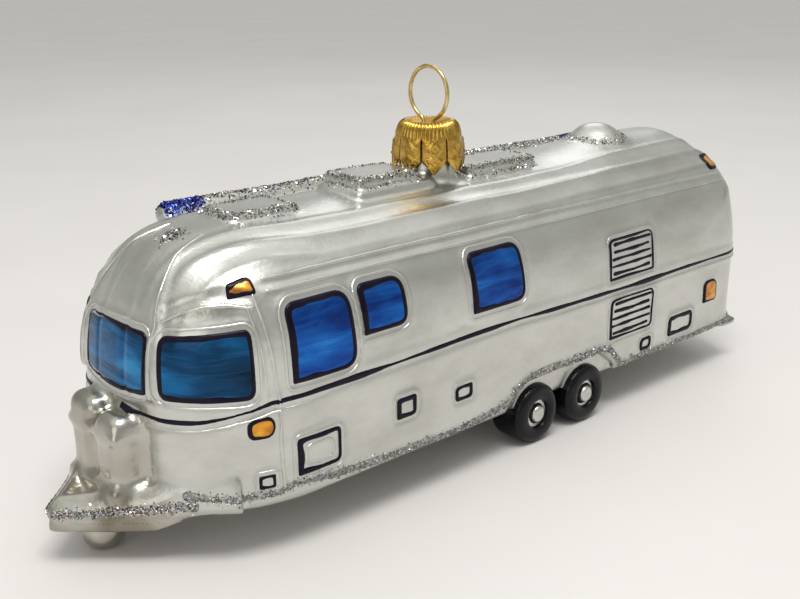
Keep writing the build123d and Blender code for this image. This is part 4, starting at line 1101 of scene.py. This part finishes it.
def drawbar_edge(t, z):
    """Point off the drawbar's side: t runs 0 at the hitch tip to 1 at the nose, signed by side."""
    side = np.where(t < 0, -1.0, 1.0)
    a = np.abs(t)
    from_tip = np.minimum(a * 6, 1)
    x = HITCH_X + 0.4 - a * (HITCH_X - 66.0)
    y = side * np.clip((HITCH_X + 1.2 - x) * 0.98, 0, 17)
    start = columns(x + 1.5, y + side * 1.5 * from_tip, z)
    direction = unit(columns(-np.full_like(x, 0.76), -side * 0.65 * from_tip, np.zeros_like(x)))
    p = settle(start, direction, 20)
    return p, normal_at(p)


t = np.concatenate([np.linspace(-1, 1, 3000), RNG.normal(0, 0.08, 260)])
z = 8.6 + RNG.normal(0, 0.42, len(t)) + 1.4 * np.abs(t)
p, n = drawbar_edge(t, z)
good = (np.abs(field_at(p)) < 0.2) & (p[:, 0] > 65)
drawbar_flakes = flakes("drawbar_flakes", p[good], n[good], "silver_glitter", SILVER_FLAKES, 0.16)
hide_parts("drawbar_glitter")


def rect_path(cx, hx, hy):
    return [(cx - hx, -hy), (cx + hx, -hy), (cx + hx, hy), (cx - hx, hy), (cx - hx, -hy)]


GLITTER_RECTS = ((42.2, 6.4, 4.7), (15.0, 6.9, 4.7), (-15.3, 9.3, 4.7))  # centre x, half sizes
uv = [scatter_path(rect_path(*row), 1.5, 12) for row in GLITTER_RECTS]
circle = [(DOME_X + 6.3 * math.cos(a), 6.3 * math.sin(a)) for a in np.linspace(0, 2 * math.pi, 40)]
uv.append(scatter_path(circle, 1.4, 10))
uv.append(RNG.normal(0, 1, (260, 2)) * (1.1, 1.0) + (57.2, 0.6))  # a spot on the nose
uv = np.vstack(uv)
p, n = on_roof(uv[:, 0], uv[:, 1])
roof_flakes = flakes("roof_flakes", p, n, "silver_glitter", SILVER_FLAKES, 0.2)
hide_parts("roof_glitter")


def awning_points(x, spread):
    """Random points round the awning roll, most of them on top."""
    a = RNG.normal(0.0, spread, len(x))
    n = columns(0 * x, -np.sin(a), np.cos(a))
    p = columns(x, AWNING_Y - AWNING_R * np.sin(a), AWNING_Z + AWNING_R * np.cos(a))
    return settle(p + n * 0.8, -n, 8), n


p, n = awning_points(RNG.uniform(-57.5, 43.0, 4200), 0.55)
awning_flakes = flakes("awning_flakes", p, n, "silver_glitter", SILVER_FLAKES, 0.22)
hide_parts("awning_glitter")
ends = np.concatenate([RNG.uniform(42.0, 50.0, 1500), RNG.uniform(-67.5, -57.0, 1700)])
p, n = awning_points(ends, 0.8)
near = np.hypot(p[:, 1] - AWNING_Y, p[:, 2] - AWNING_Z) < AWNING_R + 1.0
end_flakes = flakes("awning_end_flakes", p[near], n[near], "blue_glitter", BLUE_FLAKES, 0.24)
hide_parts("awning_end_glitter")

# ---- Crown cap ----
LEAVES, LEAF_ACROSS, LEAF_DOWN = 8, 25, 44
CAP_TURN = 0.2  # radians that the first leaf is turned by
# from the hole's rim out over the shoulder and down the leaf, as (radius, z)
CAP_SHOULDER = [(1.5, 60.3), (1.6, 60.0), (2.4, 60.3), (3.4, 60.8), (4.2, 61.1), (4.9, 60.9), (5.5, 60.2)]
CAP_LEAF = [(5.9, 59.1), (6.1, 57.8), (6.25, 56.2), (6.3, 54.6), (6.32, 53.0), (6.2, 51.8)]
LOZENGES = ((53.9, 1.25, 1.35), (56.4, 1.1, 1.2))  # centre z, half width, half height


def cap_point(leaf, u, r, z):
    """Point of a leaf at u, from -1 to 1 across it, on the profile at (r, z)."""
    half = math.pi / LEAVES
    skirt = fade(-z, -58.6, 0.6)
    tip = fade(-z, -55.0, 3.2)
    pressed = 0.0
    for centre, half_width, half_height in LOZENGES:
        lozenge = abs(u * half * r) / half_width + abs(z - centre) / half_height
        pressed += 0.3 * bell(lozenge - 1.0, 0.2)
        pressed += 0.16 * bell(lozenge, 0.35)
    # flutes over the shoulder
    if z > 58.4 and r > 2.2:
        pressed += 0.3 * math.cos(6 * math.pi * u) * fade(r, 2.2, 1.5)
    bulge = 0.25 * skirt * (1 - u * u)
    out = r + (pressed + bulge) * (0.4 + 0.6 * skirt)
    angle = 2 * math.pi * leaf / LEAVES + CAP_TURN + u * half * (1 - 0.07 * skirt)
    up = tip * abs(u) * 2.5 + (0.35 * pressed if skirt < 0.5 else 0)
    return NECK_X + out * math.cos(angle), out * math.sin(angle), z + up


def crown_cap():
    """Stamped cap: fluted round shoulder, eight pointed leaves with pressed lozenges, open slits."""
    profile = smooth_path(CAP_SHOULDER + CAP_LEAF, 6)
    along = np.concatenate([[0], np.cumsum(np.hypot(*np.diff(profile, axis=0).T))])
    at = np.linspace(0, along[-1], LEAF_DOWN)
    rows = list(zip(np.interp(at, along, profile[:, 0]), np.interp(at, along, profile[:, 1])))
    points, faces = [], []
    for leaf in range(LEAVES):
        start = len(points)
        for i in range(LEAF_ACROSS):
            u = (i / (LEAF_ACROSS - 1)) * 2 - 1
            points += [cap_point(leaf, u, r, z) for r, z in rows]
        for i in range(LEAF_ACROSS - 1):
            for k in range(start + i * LEAF_DOWN, start + (i + 1) * LEAF_DOWN - 1):
                faces.append((k, k + LEAF_DOWN, k + LEAF_DOWN + 1, k + 1))
    obj = make("crown", points, faces, "cap", "gold_cap", GOLD)
    weld = obj.modifiers.new("weld", "WELD")
    weld.merge_threshold = 0.02 * MM
    thick = obj.modifiers.new("sheet", "SOLIDIFY")
    thick.thickness = 0.3 * MM
    thick.offset = 0.0
    return obj


crown = crown_cap()
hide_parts("crown_cap")

# ---- Bail ----
RING_Z, RING_R, WIRE_R = 66.15, 4.95, 0.4
BAIL_LEG = [(3.62, 48.6), (3.62, 50.2), (2.6, 53.6), (0.9, 57.8), (0.8, 60.0)]  # (y, z)


def bail():
    angles = np.radians(np.linspace(-70, 250, 44))
    loop = [(RING_R * math.cos(a), RING_Z + RING_R * math.sin(a)) for a in angles]
    path = BAIL_LEG + loop + [(-y, z) for y, z in reversed(BAIL_LEG)]
    curve = bpy.data.curves.new("bail_curve", "CURVE")
    curve.dimensions = "3D"
    curve.bevel_depth = WIRE_R * MM
    curve.bevel_resolution = 5
    curve.use_fill_caps = True
    spline = curve.splines.new("NURBS")
    spline.points.add(len(path) - 1)
    for point, (y, z) in zip(spline.points, path):
        point.co = (NECK_X * MM, y * MM, z * MM, 1.0)
    spline.order_u = 3
    spline.use_endpoint_u = True
    spline.resolution_u = 4
    curve.materials.append(WIRE)
    obj = add_object("bail", curve)
    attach(obj, "bail")
    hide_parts("bail_wire")


bail()


# ---- Stage, light and camera ----
def stage_floor():
    n = material_nodes("studio_paper")
    paper = [(0.3, (0.69, 0.67, 0.655)), (0.7, (0.72, 0.70, 0.685))]
    n.link(n.ramp(n.noise(14.0, 4.0, 0.5), paper), "Base Color")
    n.set(Roughness=0.55)
    at = np.concatenate([[-3000.0], np.linspace(-1100, 1100, 9), [3000.0]]) * MM
    m = len(at)
    points = [(x, y, 0.0) for x in at for y in at]
    corners = [i * m + j for i in range(m - 1) for j in range(m - 1)]
    mesh = bpy.data.meshes.new("floor")
    mesh.from_pydata(points, [], [(k, k + m, k + m + 1, k + 1) for k in corners])
    mesh.materials.append(n.owner)
    obj = add_object("floor", mesh)


def area_light(name, place, size, power, colour):
    """Soft lamp that looks at the coach."""
    target = Vector((0.0, 0.0, 0.03))
    light = bpy.data.lights.new(name, "AREA")
    light.shape = "RECTANGLE"
    light.size, light.size_y = size
    light.energy = power
    light.color = colour
    obj = add_object(name, light)
    obj.location = place
    obj.rotation_euler = (target - Vector(place)).to_track_quat("-Z", "Y").to_euler()


def studio_world():
    """Pale at the horizon, greyer above it, and bright overhead."""
    world = bpy.data.worlds.new("studio")
    bpy.context.scene.world = world
    n = Nodes(world, "Background", "Generated")
    height = n.add("ShaderNodeSeparateXYZ", {0: n.coords}).outputs["Z"]
    sky = [
        (0.05, (0.86, 0.84, 0.81)),
        (0.34, (0.50, 0.495, 0.48)),
        (0.6, (0.50, 0.50, 0.48)),
        (0.82, (1.1, 1.1, 1.07)),
    ]
    n.link(n.ramp(n.scale(height, 0.0, 1.0, -0.1), sky), "Color")
    n.set(Strength=0.82)


stage_floor()
area_light("key", (0.10, 0.16, 0.62), (0.34, 0.22), 2.5, (1.0, 0.99, 0.965))
area_light("fill", (0.55, 0.25, 0.25), (0.3, 0.3), 0.3, (1.0, 0.98, 0.95))
area_light("rim", (-0.45, -0.35, 0.45), (0.3, 0.3), 0.35, (0.97, 0.98, 1.0))
studio_world()

# the photo's camera: focal length in the pixels of its 800 px wide frame, place in millimetres
FOCAL, FRAME_WIDTH, SENSOR = 1071.0, 800.0, 36.0
CAMERA_PLACE = Vector((141.73, 145.31, 89.92))
forward = Vector((-0.645, -0.7017, -0.3026)).normalized()
right = Vector((-0.735, 0.678, -0.004)).normalized()
up = right.cross(forward).normalized()
right = forward.cross(up).normalized()
camera_data = bpy.data.cameras.new("camera")
camera_data.sensor_width = SENSOR
camera_data.lens = FOCAL / FRAME_WIDTH * SENSOR
camera_data.clip_start = 0.01
camera_data.clip_end = 20.0
camera = add_object("camera", camera_data)
rotation = Matrix((right, up, -forward)).transposed()
camera.matrix_world = Matrix.Translation(CAMERA_PLACE * MM) @ rotation.to_4x4()
bpy.context.scene.camera = camera
bpy.context.scene.view_settings.view_transform = "Standard"
